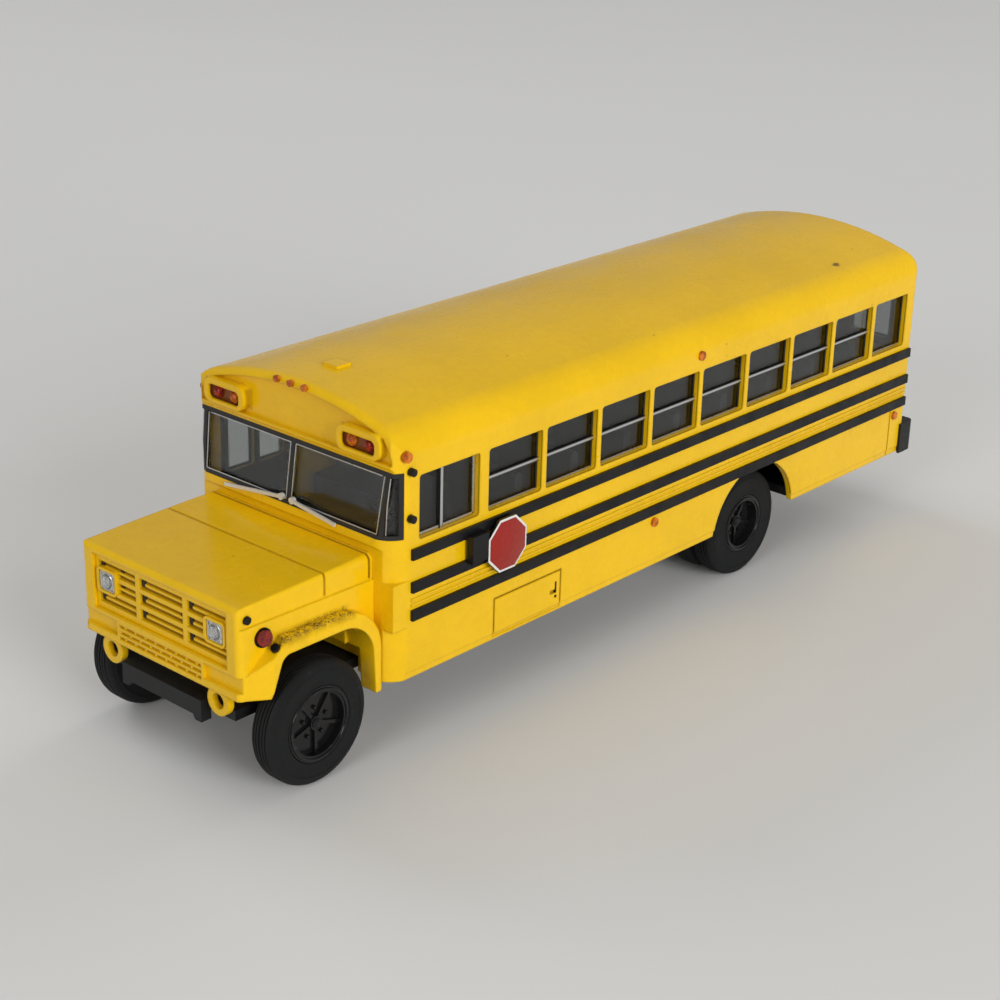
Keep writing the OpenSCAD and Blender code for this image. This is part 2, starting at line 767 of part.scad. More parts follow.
module grille_panel() {
    color(school_yellow) difference() {
        union() {
            difference() {
                block([grille_back_x, -grille_edge_y, grille_low_z + press_gap],
                    [grille_face_x, grille_edge_y, grille_top_z - press_gap]);
                for (bay = bays, k = [0:grille_rows - 1])
                    let (z = grille_low_z + grille_rim + (k + 0.5) * row_pitch)
                        block([grille_face_x - slot_depth, bay[0], z - slot_h / 2],
                            [grille_face_x + 1, bay[1], z + slot_h / 2]);
            }
            for (bay = bays, k = [0:grille_rows - 1])
                let (z = grille_low_z + grille_rim + (k + 0.5) * row_pitch)
                    block([grille_face_x - slot_depth - 0.1, bay[0] + 0.9, z - fin_h / 2],
                        [grille_face_x - 0.1, bay[1], z + fin_h / 2]);
            for (s = [-1, 1])
                along_x(grille_back_x, grille_face_x + 0.3)
                    translate([s * headlamp_y, headlamp_z]) headlamp_shape(0.35);
        }
        for (s = [-1, 1])
            along_x(grille_face_x - slot_depth, nose_x)
                translate([s * headlamp_y, headlamp_z]) headlamp_shape(press_gap);
    }
}

module headlamps() {
    color(clear_grey) for (s = [-1, 1])
        along_x(grille_face_x - slot_depth, grille_face_x + 0.1)
            translate([s * headlamp_y, headlamp_z]) headlamp_shape(0);
}

tow_eye_y = 8.8;
tow_eye_z = 11;
tow_eye_r = 1.7;
tow_hole_r = 0.9;
tow_eye_t = 0.8;

module tow_eyes() {
    color(school_yellow) for (s = [-1, 1]) difference() {
        intersection() {
            translate([nose_x - 0.5 - tow_eye_t, s * tow_eye_y, tow_eye_z]) rotate([0, 90, 0])
                cylinder(r = tow_eye_r, h = tow_eye_t);
            block([0, -body_w, 0], [nose_x, body_w, valance_z]);
        }
        translate([nose_x - 3, s * tow_eye_y, tow_eye_z]) rotate([0, 90, 0]) cylinder(r = tow_hole_r, h = 4);
    }
}

bar_y = 6.6;
bar_x = nose_x - 1.4;

// Black bar under the nose, with a tab at each end
module front_bar() {
    color(satin_black) along_x(bar_x, nose_x) polygon([
        [-bar_y, base_low_z - 1.1],
        [1 - bar_y, base_low_z - 1.1],
        [1.4 - bar_y, base_low_z - 0.5],
        [bar_y - 1.4, base_low_z - 0.5],
        [bar_y - 1, base_low_z - 1.1],
        [bar_y, base_low_z - 1.1],
        [bar_y, base_top_z + 0.3],
        [-bar_y, base_top_z + 0.3]
    ]);
}

// Black rear bumper, wrapped round both rear corners
module rear_bumper() {
    color(satin_black) along_z(skirt_z - 0.2, skirt_z - 0.2 + bumper_h) difference() {
        intersection() {
            pane([rear_x - bumper_out, -side_y - 0.4], [face_x, side_y + 0.4], rear_corner_r + 0.4);
            translate([rear_x - bumper_out, -body_w]) square([bumper_out + bumper_lap, 2 * body_w]);
        }
        body_plan(-press_gap);
    }
}

// Wrap-round windscreen, moulded to the lean of the front panel
module windscreen() {
    color(clear_grey) intersection() {
        difference() {
            body_envelope(0.3, skirt_z);
            body_envelope(0.3 + glass_t, skirt_z - 1);
        }
        block([screen_rear_x + press_gap, -body_w, cowl_z + windscreen_sill + press_gap],
            [nose_x, body_w, header_z - 0.2 - press_gap]);
    }
}

corner_bar_y = side_y - 2.1;
corner_bar_lean = 0.4;

module windscreen_gasket() {
    low = cowl_z + windscreen_sill + press_gap;
    high = header_z - 0.2 - press_gap;
    back = screen_rear_x + press_gap;
    color(satin_black) intersection() {
        difference() {
            body_envelope(0, skirt_z);
            body_envelope(0.3, skirt_z - 1);
        }
        union() {
            block([back, -body_w, low], [nose_x, body_w, low + gasket_w]);
            block([back, -body_w, high - gasket_w], [nose_x, body_w, high]);
            block([back, -gasket_w / 2, low], [nose_x, gasket_w / 2, high]);
            both_sides() along_x(back, nose_x) polygon([
                [corner_bar_y, low],
                [corner_bar_y + gasket_w, low],
                [corner_bar_y + gasket_w + corner_bar_lean, high],
                [corner_bar_y + corner_bar_lean, high]
            ]);
            both_sides() block([back, 0, low], [back + gasket_w, body_w, high]);
        }
    }
}

glass_margin = 0.5;

module side_glass() {
    intersection() {
        block([last_rear_x - glass_margin, inner_y - glass_t, sill_z - glass_margin],
            [driver_front_x + glass_margin, inner_y, head_z + glass_margin]);
        along_z(0, roof_z) body_plan(wall);
    }
}

module glazing_left() {
    color(clear_grey) side_glass();
}

module glazing_right() {
    color(clear_grey) mirror([0, 1, 0]) {
        side_glass();
        block([door_rear_x, inner_y - glass_t, base_top_z + 0.1],
            [door_front_x + glass_margin, inner_y, sill_z]);
    }
}

module glazing_rear() {
    x = rear_x + wall;
    color(clear_grey) intersection() {
        along_z(0, roof_z) body_plan(wall);
        rear_glass_blocks(x);
    }
}

module rear_glass_blocks(x) {
    y = rear_window_y + glass_margin;
    block([x, -y, sill_z - 1], [x + glass_t, y, head_z + glass_margin]);
    block([x, -rear_door_y, rear_pane_z - glass_margin], [x + glass_t, rear_door_y, sill_z - 1]);
}

// Bright bars on the outside of the side glass
module sash_bars() {
    color(bright_silver) {
        both_sides() for (k = [0:sash_windows - 1])
            block([row_x - k * window_pitch - window_w + press_gap, inner_y, sash_z - sash_h / 2],
                [row_x - k * window_pitch - press_gap, inner_y + 0.3, sash_z + sash_h / 2]);
        block([driver_rear_x + driver_window_w * 0.55, inner_y, sill_z + press_gap],
            [driver_rear_x + driver_window_w * 0.55 + sash_h, inner_y + 0.3, head_z - press_gap]);
    }
}

tray_front_x = face_x - 5.5;
tray_rear_x = rear_x + wall + glass_t + 0.3;
tray_y = inner_y - glass_t - 0.1;
tray_wall_y = well_y - 1;
seat_y0 = 3.2;
seat_y1 = inner_y - glass_t - 0.4;
seat_l = 5;
seat_set = 7.2;
cushion_h = 3;

// Side view of one bench: cushion and leaning back with a round top
module seat_profile(x, h) {
    back_t = 1.3;
    polygon([
        [x, floor_z - 0.1],
        [x + seat_l, floor_z - 0.1],
        [x + seat_l, floor_z + cushion_h],
        [x + back_t, floor_z + cushion_h],
        [x + back_t - 0.4, floor_z + h - back_t / 2],
        [x - 0.4, floor_z + h - back_t / 2]
    ]);
    translate([x + back_t / 2 - 0.4, floor_z + h - back_t / 2]) circle(back_t / 2);
}

module seat_tray() {
    color(tray_grey) {
        block([tray_rear_x, -tray_y, floor_z - tray_t], [tray_front_x, tray_y, floor_z]);
        both_sides() {
            block([tray_rear_x, tray_wall_y - tray_t, base_top_z], [tray_front_x, tray_wall_y, floor_z - tray_t]);
            for (k = [0:sash_windows - 1])
                along_y(seat_y0, seat_y1) seat_profile(row_x - seat_set - k * window_pitch, seat_h);
        }
    }
}

driver_y = 8.4;

module driver_seat() {
    color(tray_grey) along_y(driver_y - 2.6, driver_y + 2.6) translate([0, 0.1])
        seat_profile(driver_rear_x - 0.6, seat_h);
}

dash_x = face_x - wall - 0.1;
dash_t = 2.2;
dash_front_x = dash_x - dash_t - 0.8;

module dashboard() {
    color(satin_black) along_y(3 - inner_y, inner_y - 3) polygon([
        [dash_x - dash_t, base_top_z],
        [dash_x, base_top_z],
        [dash_x, cowl_z + 0.3],
        [dash_front_x, cowl_z - 0.2],
        [dash_front_x, cowl_z - 2]
    ]);
}

column_tilt = 35;
steer_r = 2;
steer_back = 2.6;
column_l = (steer_back - 0.35) / cos(column_tilt);

module steering_wheel() {
    color(satin_black) translate([dash_front_x - steer_back, driver_y, cowl_z + 0.6]) rotate([0, column_tilt - 90, 0]) {
        rotate_extrude() translate([steer_r, 0]) circle(0.25, $fn = 24);
        for (a = [90, 210, 330]) rotate([0, 0, a]) translate([0, -0.2, -0.15]) cube([steer_r, 0.4, 0.3]);
        translate([0, 0, -column_l]) cylinder(r = 0.4, h = column_l + 0.15);
    }
}

// Base plate: inside the skirt, narrow between the wheels, and on under the nose
module base_plate() {
    color(satin_black) {
        along_z(base_low_z, base_top_z) difference() {
            intersection() {
                body_plan(wall + base_gap);
                translate([rear_x, -body_w]) square([body_len - wall - base_gap, 2 * body_w]);
            }
            for (s = [-1, 1])
                translate([rear_axle_x, s * (well_y + body_w / 2)])
                    square([2 * well_r, body_w], center = true);
        }
        block([face_x - 4, -front_gap_y, base_low_z], [bar_x, front_gap_y, base_top_z]);
        // Frame rails moulded under the plate, parted at the axles
        both_sides() for (span = [[rear_x + 3, rear_axle_x - 3], [rear_axle_x + 3, front_axle_x - 3]])
            block([span[0], 3.4, base_low_z - 1.2], [span[1], 4.6, base_low_z]);
    }
}

carrier_low_z = wheel_r - bore_r - 0.9;

// Saddles that carry the front axle under the base plate
module front_axle_carrier() {
    color(satin_black) both_sides() difference() {
        along_y(front_gap_y - 2.6, front_gap_y) translate([front_axle_x, 0]) polygon([
            [-2.4, base_low_z],
            [-1.9, carrier_low_z],
            [1.9, carrier_low_z],
            [2.4, base_low_z]
        ]);
        translate([front_axle_x, 0, wheel_r]) rotate([-90, 0, 0]) cylinder(r = bore_r, h = body_w);
    }
}

// Rear axle tube with its round middle housing, hung from the base plate
module rear_axle_housing() {
    color(satin_black) translate([rear_axle_x, 0, wheel_r]) difference() {
        union() {
            intersection() {
                union() {
                    rotate([90, 0, 0]) cylinder(r = bore_r + 0.8, h = 2 * (well_y - 0.3), center = true);
                    sphere(r = 2.6);
                }
                block([-5, -body_w, -5], [5, body_w, base_low_z - wheel_r]);
            }
            both_sides() block([-1.6, 2.6, bore_r + 0.2], [1.6, 4.6, base_low_z - wheel_r]);
        }
        rotate([90, 0, 0]) cylinder(r = bore_r, h = body_w, center = true);
    }
}

boss_x = (front_axle_x + rear_axle_x) / 2;
boss_r = 2.4;
boss_h = 2.4;

// Two bosses under the base plate take the screws of a display stand
module stand_bosses() {
    color(satin_black) for (s = [-1, 1]) translate([boss_x + s * stand_pitch / 2, 0, base_low_z - boss_h])
        difference() {
            cylinder(r = boss_r, h = boss_h);
            translate([0, 0, -1]) cylinder(d = stand_hole_d, h = boss_h + 2);
        }
}

tank_front_x = face_x - 29;
tank_l = 15;
tank_h = 2.6;
tank_inner_y = 7;
tank_r = 0.7;

// Fuel tank under the kerb side
module fuel_tank() {
    color(satin_black) along_x(tank_front_x - tank_l, tank_front_x)
        pane([1 - base_y, base_low_z - tank_h], [-tank_inner_y, base_low_z], tank_r);
}

silencer_r = 1.3;
silencer_l = 14;
silencer_x = face_x - 40;
silencer_y = 8;
pipe_r = 0.6;
pipe_l = 16;

// Silencer and pipe, moulded against the base plate
module exhaust() {
    color(satin_black) translate([silencer_x, silencer_y, base_low_z - silencer_r - 0.05]) rotate([0, 90, 0]) {
        cylinder(r = silencer_r, h = silencer_l);
        cylinder(r = pipe_r, h = silencer_l + pipe_l);
    }
}

hinge_x1 = face_x - 11.3;
hinge_w = 2.6;
hinge_x0 = hinge_x1 - hinge_w;
sign_x = hinge_x0 - sign_w / 2 - 0.1;
sign_z = (rail_top_z + rail_mid_z) / 2 - 0.8;
arm_t = 0.4;

module octagon(w) {
    rotate(22.5) circle(d = w / cos(22.5), $fn = 8);
}

// Black hinge block on the rub rails, with the arm that carries the sign
module stop_sign_arm() {
    color(satin_black) {
        block([hinge_x0, rail_y, rail_mid_z + 0.35], [hinge_x1, rail_y + 0.9, rail_top_z - 0.25]);
        block([sign_x - 2, rail_y, sign_z - 0.6], [hinge_x0, rail_y + arm_t, sign_z + 0.6]);
    }
}

module stop_sign_plate() {
    color("white") along_y(rail_y + arm_t, rail_y + arm_t + sign_t) translate([sign_x, sign_z]) octagon(sign_w);
}

module stop_sign_face() {
    y = rail_y + arm_t + sign_t;
    color(lamp_red) along_y(y, y + 0.1) translate([sign_x, sign_z]) octagon(sign_w - 1);
}

function screen_x(z) = cowl_x - windscreen_lean * (z - cowl_z) / (header_z - cowl_z);

// One wiper: a bar along the foot of the windscreen on a small spindle
module wiper(side, reach) {
    z = cowl_z + windscreen_sill + gasket_w + 0.3;
    x = screen_x(z - 0.4);
    color(bright_silver) {
        translate([x, side * 0.9, z]) rotate([0, 90, 0]) cylinder(r = 0.4, h = 0.45);
        translate([x + 0.2, side * 0.9, z]) rotate([side * -7, 0, 0])
            translate([0, side > 0 ? 0 : -reach, -0.2]) cube([0.25, reach, 0.4]);
    }
}

module wiper_left() {
    wiper(1, 7);
}

module wiper_right() {
    wiper(-1, 9.5);
}

module pod_lamp(y) {
    r = lamp_r - press_gap;
    slot_z = pod_z + (pod_lip - pod_rim) / 2;
    translate([pod_front_x - pod_pocket, y, slot_z]) rotate([0, 90, 0]) cylinder(r = r, h = pod_pocket - 0.15);
    translate([rear_x - rear_pod_out + 0.15, y, slot_z]) rotate([0, 90, 0]) cylinder(r = r, h = pod_pocket - 0.15);
}

module warning_lamps_red() {
    color(lamp_red) for (s = [-1, 1]) pod_lamp(s * (pod_y + lamp_pitch / 2));
}

module warning_lamps_amber() {
    color(lamp_amber) for (s = [-1, 1]) pod_lamp(s * (pod_y - lamp_pitch / 2));
}

// Places of the amber markers along the sides as [x, z]
skirt_marker_z = rail_low_z - 1.75;
mid_marker_set = 46;
end_marker_set = 2.9;
roof_marker_set = 53.8;
roof_marker_rise = 2;
side_markers = [
    [face_x - mid_marker_set, skirt_marker_z],
    [rear_x + end_marker_set, skirt_marker_z],
    [face_x - roof_marker_set, head_z + roof_marker_rise]
];
marker_pitch = 2.2;
rim_lamp_r = 0.4;

module marker_lamps() {
    color(lamp_amber) {
        for (k = [-1, 0, 1])
            translate([header_x, k * marker_pitch, roof_z - header_rim / 2]) rotate([0, 90, 0])
                cylinder(r = rim_lamp_r, h = rim_lamp_r);
        both_sides() for (m = side_markers)
            translate([m[0], side_y, m[1]]) rotate([-90, 0, 0]) cylinder(r = marker_r, h = 0.3);
        both_sides() side_stud(corner_marker_x, corner_marker_z, marker_r, marker_r / 2);
    }
}

tail_lamp_y = 10.6;
tail_lamp_r = 1.2;
tail_lamp_t = 0.4;
tail_lamp_heights = [rail_low_z - 0.75, rail_mid_z - 0.4];

module tail_lamps() {
    color(lamp_red) for (s = [-1, 1], z = tail_lamp_heights)
        translate([rear_x, s * tail_lamp_y, z]) rotate([0, -90, 0]) cylinder(r = tail_lamp_r, h = tail_lamp_t);
}

module wing_lamps() {
    color(lamp_red) both_sides() at_wing_lamp() cylinder(r = wing_lamp_r, h = 1.2, center = true);
}

// Short pegs where the mirrors' arms are held
module mirror_pegs() {
    color(satin_black) both_sides() {
        for (z = peg_heights) side_stud(peg_x, z, peg_r, peg_out);
        nose_studs(0, peg_out / 2);
    }
}

module tyre(rim_d) {
    r0 = rim_d / 2 + press_gap;
    rotate([90, 0, 0]) rotate_extrude() difference() {
        union() {
            translate([r0, -tyre_w / 2]) square([wheel_r - shoulder_r - r0, tyre_w]);
            translate([r0, shoulder_r - tyre_w / 2]) square([wheel_r - r0, tyre_w - 2 * shoulder_r]);
            for (s = [-1, 1]) translate([wheel_r - shoulder_r, s * (tyre_w / 2 - shoulder_r)]) circle(shoulder_r);
        }
        for (y = [-0.45, 0.45]) translate([wheel_r - 0.25, y - 0.1]) square([1, 0.2]);
    }
}

hub_r = 0.85;
spoke_w = 0.4;
axle_inset = 0.5;

// Moulded wheel, outer face towards +Y: barrel, dished web, hub and raised spokes
module rim(rim_d, dish, spokes) {
    r = rim_d / 2;
    lip = 0.75;
    half = tyre_w / 2 - 0.1;
    web_y = half - dish;
    difference() {
        rotate([-90, 0, 0]) {
            translate([0, 0, -half]) difference() {
                cylinder(r = r, h = 2 * half);
                translate([0, 0, 2 * half - dish]) cylinder(r = r - lip, h = dish + 1);
                translate([0, 0, -1]) cylinder(r = r - lip, h = 2 * half - dish - 0.2);
            }
            translate([0, 0, -half]) cylinder(r = axle_r + 0.7, h = 2 * half - dish);
            translate([0, 0, web_y - 0.1]) cylinder(r = hub_r, h = 0.6);
            for (k = [0:spokes - 1]) rotate([0, 0, k * 360 / spokes + 18])
                translate([0, -spoke_w / 2, web_y - 0.1]) cube([r - lip / 2, spoke_w, 0.45]);
        }
        rotate([90, 0, 0]) translate([0, 0, axle_inset - web_y]) cylinder(r = axle_r + press_gap, h = 2 * tyre_w);
    }
}

front_dish = 0.9;
rear_dish = 1.5;
outer_track_y = inner_track_y + twin_pitch;

module axle_bar(x, length) {
    color(bright_silver) translate([x, 0, wheel_r]) rotate([90, 0, 0])
        cylinder(d = axle_d, h = length, center = true);
}

module front_axle() {
    axle_bar(front_axle_x, 2 * (front_track_y + tyre_w / 2 - 0.1 - front_dish - axle_inset - press_gap));
}

module rear_axle() {
    axle_bar(rear_axle_x, 2 * (outer_track_y + tyre_w / 2 - 0.1 - rear_dish - axle_inset - press_gap));
}

module front_rim() {
    color(satin_black) translate([front_axle_x, front_track_y, wheel_r]) rim(front_rim_d, front_dish, 5);
}

module front_tyre() {
    color(tyre_black) translate([front_axle_x, front_track_y, wheel_r]) tyre(front_rim_d);
}

// Twin rear wheels: the inner one faces the other way, web towards web
module rear_rims() {
    color(satin_black) translate([rear_axle_x, 0, wheel_r]) {
        translate([0, outer_track_y, 0]) rim(rear_rim_d, rear_dish, 5);
        translate([0, inner_track_y, 0]) difference() {
            rotate([90, 0, 0]) cylinder(d = rear_rim_d, h = tyre_w - 0.2, center = true);
            rotate([90, 0, 0]) cylinder(r = axle_r + press_gap, h = 2 * tyre_w, center = true);
        }
    }
}

module rear_tyres() {
    color(tyre_black) for (y = [inner_track_y, outer_track_y])
        translate([rear_axle_x, y, wheel_r]) tyre(rear_rim_d);
}

module front_rim_left() {
    front_rim();
}

module front_rim_right() {
    mirror([0, 1, 0]) front_rim();
}

module front_tyre_left() {
    front_tyre();
}

module front_tyre_right() {
    mirror([0, 1, 0]) front_tyre();
}

module rear_rims_left() {
    rear_rims();
}

module rear_rims_right() {
    mirror([0, 1, 0]) rear_rims();
}

module rear_tyres_left() {
    rear_tyres();
}

module rear_tyres_right() {
    mirror([0, 1, 0]) rear_tyres();
}

body_casting();
rub_rails();
nose_casting();
grille_panel();
headlamps();
tow_eyes();
front_bar();
rear_bumper();
windscreen();
windscreen_gasket();
glazing_left();
glazing_right();
glazing_rear();
sash_bars();
seat_tray();
driver_seat();
steering_wheel();
dashboard();
base_plate();
front_axle_carrier();
rear_axle_housing();
stand_bosses();
fuel_tank();
exhaust();
stop_sign_arm();
stop_sign_plate();
stop_sign_face();
wiper_left();
wiper_right();
warning_lamps_red();
warning_lamps_amber();
marker_lamps();
tail_lamps();
wing_lamps();
mirror_pegs();
front_axle();
front_rim_left();
front_rim_right();
front_tyre_left();
front_tyre_right();
rear_axle();
rear_rims_left();
rear_rims_right();
rear_tyres_left();
rear_tyres_right();
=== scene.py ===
import math

import bmesh
import bpy
from mathutils import Matrix, Vector


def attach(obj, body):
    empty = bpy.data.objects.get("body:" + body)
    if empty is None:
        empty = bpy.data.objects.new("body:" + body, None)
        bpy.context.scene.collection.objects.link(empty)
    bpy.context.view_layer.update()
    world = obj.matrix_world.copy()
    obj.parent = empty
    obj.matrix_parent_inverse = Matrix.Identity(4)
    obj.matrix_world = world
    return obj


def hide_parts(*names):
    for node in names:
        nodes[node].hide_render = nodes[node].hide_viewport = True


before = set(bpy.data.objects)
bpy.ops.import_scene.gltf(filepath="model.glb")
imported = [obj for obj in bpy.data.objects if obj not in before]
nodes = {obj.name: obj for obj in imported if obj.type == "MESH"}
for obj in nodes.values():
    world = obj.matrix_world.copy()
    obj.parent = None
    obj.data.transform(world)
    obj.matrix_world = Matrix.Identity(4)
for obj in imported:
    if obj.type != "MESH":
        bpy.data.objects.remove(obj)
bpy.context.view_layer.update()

# The viewing place: a pale matt table under four broad soft lamps, the strongest on the driver's
# side, with the camera where the picture was taken. None of it belongs to the model.
mm = 0.001
scene = bpy.context.scene
camera_right = Vector((-0.669040, 0.742831, 0.024241))
camera_down = Vector((0.267282, 0.270908, -0.924754))
camera_forward = Vector((-0.693502, -0.612218, -0.379793))
lens = bpy.data.cameras.new("viewing_lens")
lens.sensor_width = 36.0
lens.lens = 74.44
lens.clip_start = 0.005
camera = bpy.data.objects.new("viewing_camera", lens)
camera.rotation_mode = "QUATERNION"
camera_axes = Matrix((camera_right, -camera_down, -camera_forward)).transposed()
camera.rotation_quaternion = camera_axes.to_quaternion()
camera.location = (0.187916, 0.158530, 0.114082)
scene.collection.objects.link(camera)
scene.camera = camera
scene.view_settings.view_transform = "Standard"

studio = bpy.data.worlds.new("studio_air")
studio.use_nodes = True
air = studio.node_tree.nodes["Background"]
air.inputs["Color"].default_value = (1.0, 0.99, 0.97, 1.0)
air.inputs["Strength"].default_value = 0.32
scene.world = studio

lamp_aim = Vector((0, 0, 0.02))
lamp_spread = math.radians(100)
# Each lamp as [name, place, size in metres, watts, whether gloss shows it]
for name, place, size, watts, shine in (
    ("side_lamp", (0.22, 1.05, 0.36), 0.60, 2.75, False),
    ("front_lamp", (1.10, 0.20, 0.50), 0.50, 0.9, True),
    ("kerb_lamp", (0.00, -1.05, 0.60), 0.60, 1.1, False),
    ("rear_lamp", (-1.10, -0.10, 0.60), 0.60, 0.9, False),
):
    light = bpy.data.lights.new(name, "AREA")
    light.size = size
    light.energy = watts
    light.spread = lamp_spread
    holder = bpy.data.objects.new(name, light)
    holder.location = place
    holder.rotation_euler = (lamp_aim - Vector(place)).to_track_quat("-Z", "Y").to_euler()
    holder.visible_glossy = shine
    scene.collection.objects.link(holder)


def principled(name, colour, rough, metal=0.0, coat=0.0):
    made = bpy.data.materials.new(name)
    made.use_nodes = True
    tree = made.node_tree
    shader = tree.nodes["Principled BSDF"]
    shader.inputs["Base Color"].default_value = (*colour, 1.0)
    shader.inputs["Roughness"].default_value = rough
    shader.inputs["Metallic"].default_value = metal
    shader.inputs["Coat Weight"].default_value = coat
    place = tree.nodes.new("ShaderNodeTexCoord").outputs["Object"]
    return made, tree, shader, place


def cloud(tree, place, scale, detail=2.0, rough=0.5):
    node = tree.nodes.new("ShaderNodeTexNoise")
    node.inputs["Scale"].default_value = scale
    node.inputs["Detail"].default_value = detail
    node.inputs["Roughness"].default_value = rough
    tree.links.new(place, node.inputs["Vector"])
    return node.outputs[0]


def remap(tree, value, low, high, to_low=0.0, to_high=1.0):
    node = tree.nodes.new("ShaderNodeMapRange")
    node.interpolation_type = "SMOOTHSTEP"
    node.inputs["From Min"].default_value = low
    node.inputs["From Max"].default_value = high
    node.inputs["To Min"].default_value = to_low
    node.inputs["To Max"].default_value = to_high
    tree.links.new(value, node.inputs["Value"])
    return node.outputs["Result"]


def tint(tree, share, first, second):
    node = tree.nodes.new("ShaderNodeMix")
    node.data_type = "RGBA"
    tree.links.new(share, node.inputs[0])
    for socket, colour in ((node.inputs[6], first), (node.inputs[7], second)):
        if isinstance(colour, tuple):
            socket.default_value = (*colour, 1.0)
        else:
            tree.links.new(colour, socket)
    return node.outputs[2]


def colour_by(tree, shader, share, first, second):
    tree.links.new(tint(tree, share, first, second), shader.inputs["Base Color"])


def relief(tree, shader, height, depth, edge=0.0):
    node = tree.nodes.new("ShaderNodeBump")
    node.inputs["Strength"].default_value = 1.0
    node.inputs["Distance"].default_value = depth
    tree.links.new(height, node.inputs["Height"])
    if edge:
        soft = tree.nodes.new("ShaderNodeBevel")
        soft.samples = 6
        soft.inputs["Radius"].default_value = edge
        tree.links.new(soft.outputs["Normal"], node.inputs["Normal"])
    tree.links.new(node.outputs["Normal"], shader.inputs["Normal"])


table_top, tree, shader, place = principled("table_top", (0.78, 0.78, 0.77), 0.85)
colour_by(tree, shader, cloud(tree, place, 6.0, 4.0), (0.76, 0.76, 0.75), (0.80, 0.80, 0.79))
table_r = 4.0
shape = bmesh.new()
bmesh.ops.create_circle(shape, cap_ends=True, segments=64, radius=table_r)
mesh = bpy.data.meshes.new("table")
shape.to_mesh(mesh)
shape.free()
mesh.materials.append(table_top)
table = bpy.data.objects.new("table", mesh)
scene.collection.objects.link(table)


# The painted castings: a hollow zinc body shell and a separate nose with its grille panel, all in
# gloss yellow enamel. The sprayed coat has a fine orange peel and dust nibs, its grooves and seams
# carry painted shade, and the paint is worn through to dark metal along the ridge of the front wing.
def linear(red, green, blue):
    def straight(value):
        value /= 255.0
        return value / 12.92 if value <= 0.04045 else ((value + 0.055) / 1.055) ** 2.4
    return (straight(red), straight(green), straight(blue))


def combine(tree, operation, first, second=0.0):
    node = tree.nodes.new("ShaderNodeMath")
    node.operation = operation
    for socket, value in zip(node.inputs, (first, second)):
        if isinstance(value, (int, float)):
            socket.default_value = value
        else:
            tree.links.new(value, socket)
    return node.outputs[0]


def times(tree, first, second):
    return combine(tree, "MULTIPLY", first, second)


def weigh(tree, first, first_share, second, second_share):
    return combine(tree, "ADD", times(tree, first, first_share), times(tree, second, second_share))


def gloss_by(tree, shader, share, low, high, smooth, dull):
    tree.links.new(remap(tree, share, low, high, smooth, dull), shader.inputs["Roughness"])


def stretched(tree, place, scale, turn=0.0):
    node = tree.nodes.new("ShaderNodeMapping")
    node.inputs["Scale"].default_value = scale
    node.inputs["Rotation"].default_value = (0.0, 0.0, turn)
    tree.links.new(place, node.inputs["Vector"])
    return node.outputs["Vector"]


def scattered(tree, place, scale):
    cells = tree.nodes.new("ShaderNodeTexVoronoi")
    cells.inputs["Scale"].default_value = scale
    tree.links.new(place, cells.inputs["Vector"])
    chance = tree.nodes.new("ShaderNodeSeparateColor")
    tree.links.new(cells.outputs["Color"], chance.inputs["Color"])
    return cells.outputs["Distance"], chance.outputs


def effect_group(name, outputs):
    group = bpy.data.node_groups.new(name, "ShaderNodeTree")
    group.interface.new_socket("Place", in_out="INPUT", socket_type="NodeSocketVector")
    group.interface.new_socket("Fineness", in_out="INPUT", socket_type="NodeSocketFloat")
    for label in outputs:
        group.interface.new_socket(label, in_out="OUTPUT", socket_type="NodeSocketFloat")
    start = group.nodes.new("NodeGroupInput")
    scaled = group.nodes.new("ShaderNodeVectorMath")
    scaled.operation = "SCALE"
    group.links.new(start.outputs["Place"], scaled.inputs[0])
    group.links.new(start.outputs["Fineness"], scaled.inputs["Scale"])
    return group, scaled.outputs[0], group.nodes.new("NodeGroupOutput").inputs


def use_group(tree, group, place, fineness):
    node = tree.nodes.new("ShaderNodeGroup")
    node.node_tree = group
    node.inputs["Fineness"].default_value = fineness
    tree.links.new(place, node.inputs["Place"])
    return node.outputs


sprayed_skin, spot, out = effect_group("sprayed_skin", ("Tone", "Height", "Nibs", "Gloss"))
broad = cloud(sprayed_skin, spot, 70.0, 3.0)
fine = cloud(sprayed_skin, spot, 900.0, 2.0)
blotches = weigh(sprayed_skin, broad, 0.7, fine, 0.3)
sprayed_skin.links.new(remap(sprayed_skin, blotches, 0.32, 0.68), out["Tone"])
peel = cloud(sprayed_skin, spot, 2400.0, 2.0)
dents = cloud(sprayed_skin, spot, 260.0, 1.0)
sprayed_skin.links.new(weigh(sprayed_skin, peel, 0.45, dents, 0.55), out["Height"])
distance, chance = scattered(sprayed_skin, spot, 330.0)
nib = remap(sprayed_skin, distance, 0.06, 0.025)
kept_nibs = remap(sprayed_skin, chance["Red"], 0.80, 0.84)
sprayed_skin.links.new(times(sprayed_skin, nib, kept_nibs), out["Nibs"])
sprayed_skin.links.new(cloud(sprayed_skin, spot, 240.0, 4.0, 0.6), out["Gloss"])

school_yellow = linear(238, 190, 10)
worn_metal = linear(52, 40, 26)
# Dark brown for the dust nibs, and for the painted shade in the grooves and seams.
nib_and_groove_shade_colour = linear(92, 64, 8)
hairline = 0.02 * mm


def zone(tree, value, low, high, soft):
    rise = remap(tree, value, low - soft, low)
    fall = remap(tree, value, high + soft, high)
    return times(tree, rise, fall)


def within(tree, place, across=None, along=None, up=None, soft=0.05 * mm):
    split = tree.nodes.new("ShaderNodeSeparateXYZ")
    tree.links.new(place, split.inputs[0])
    share = None
    for limits, value in ((along, split.outputs[0]), (across, split.outputs[1]), (up, split.outputs[2])):
        if limits is None:
            continue
        if value == split.outputs[1]:
            value = combine(tree, "ABSOLUTE", value)
        band = zone(tree, value, limits[0] * mm, limits[1] * mm, soft)
        share = band if share is None else times(tree, share, band)
    return share
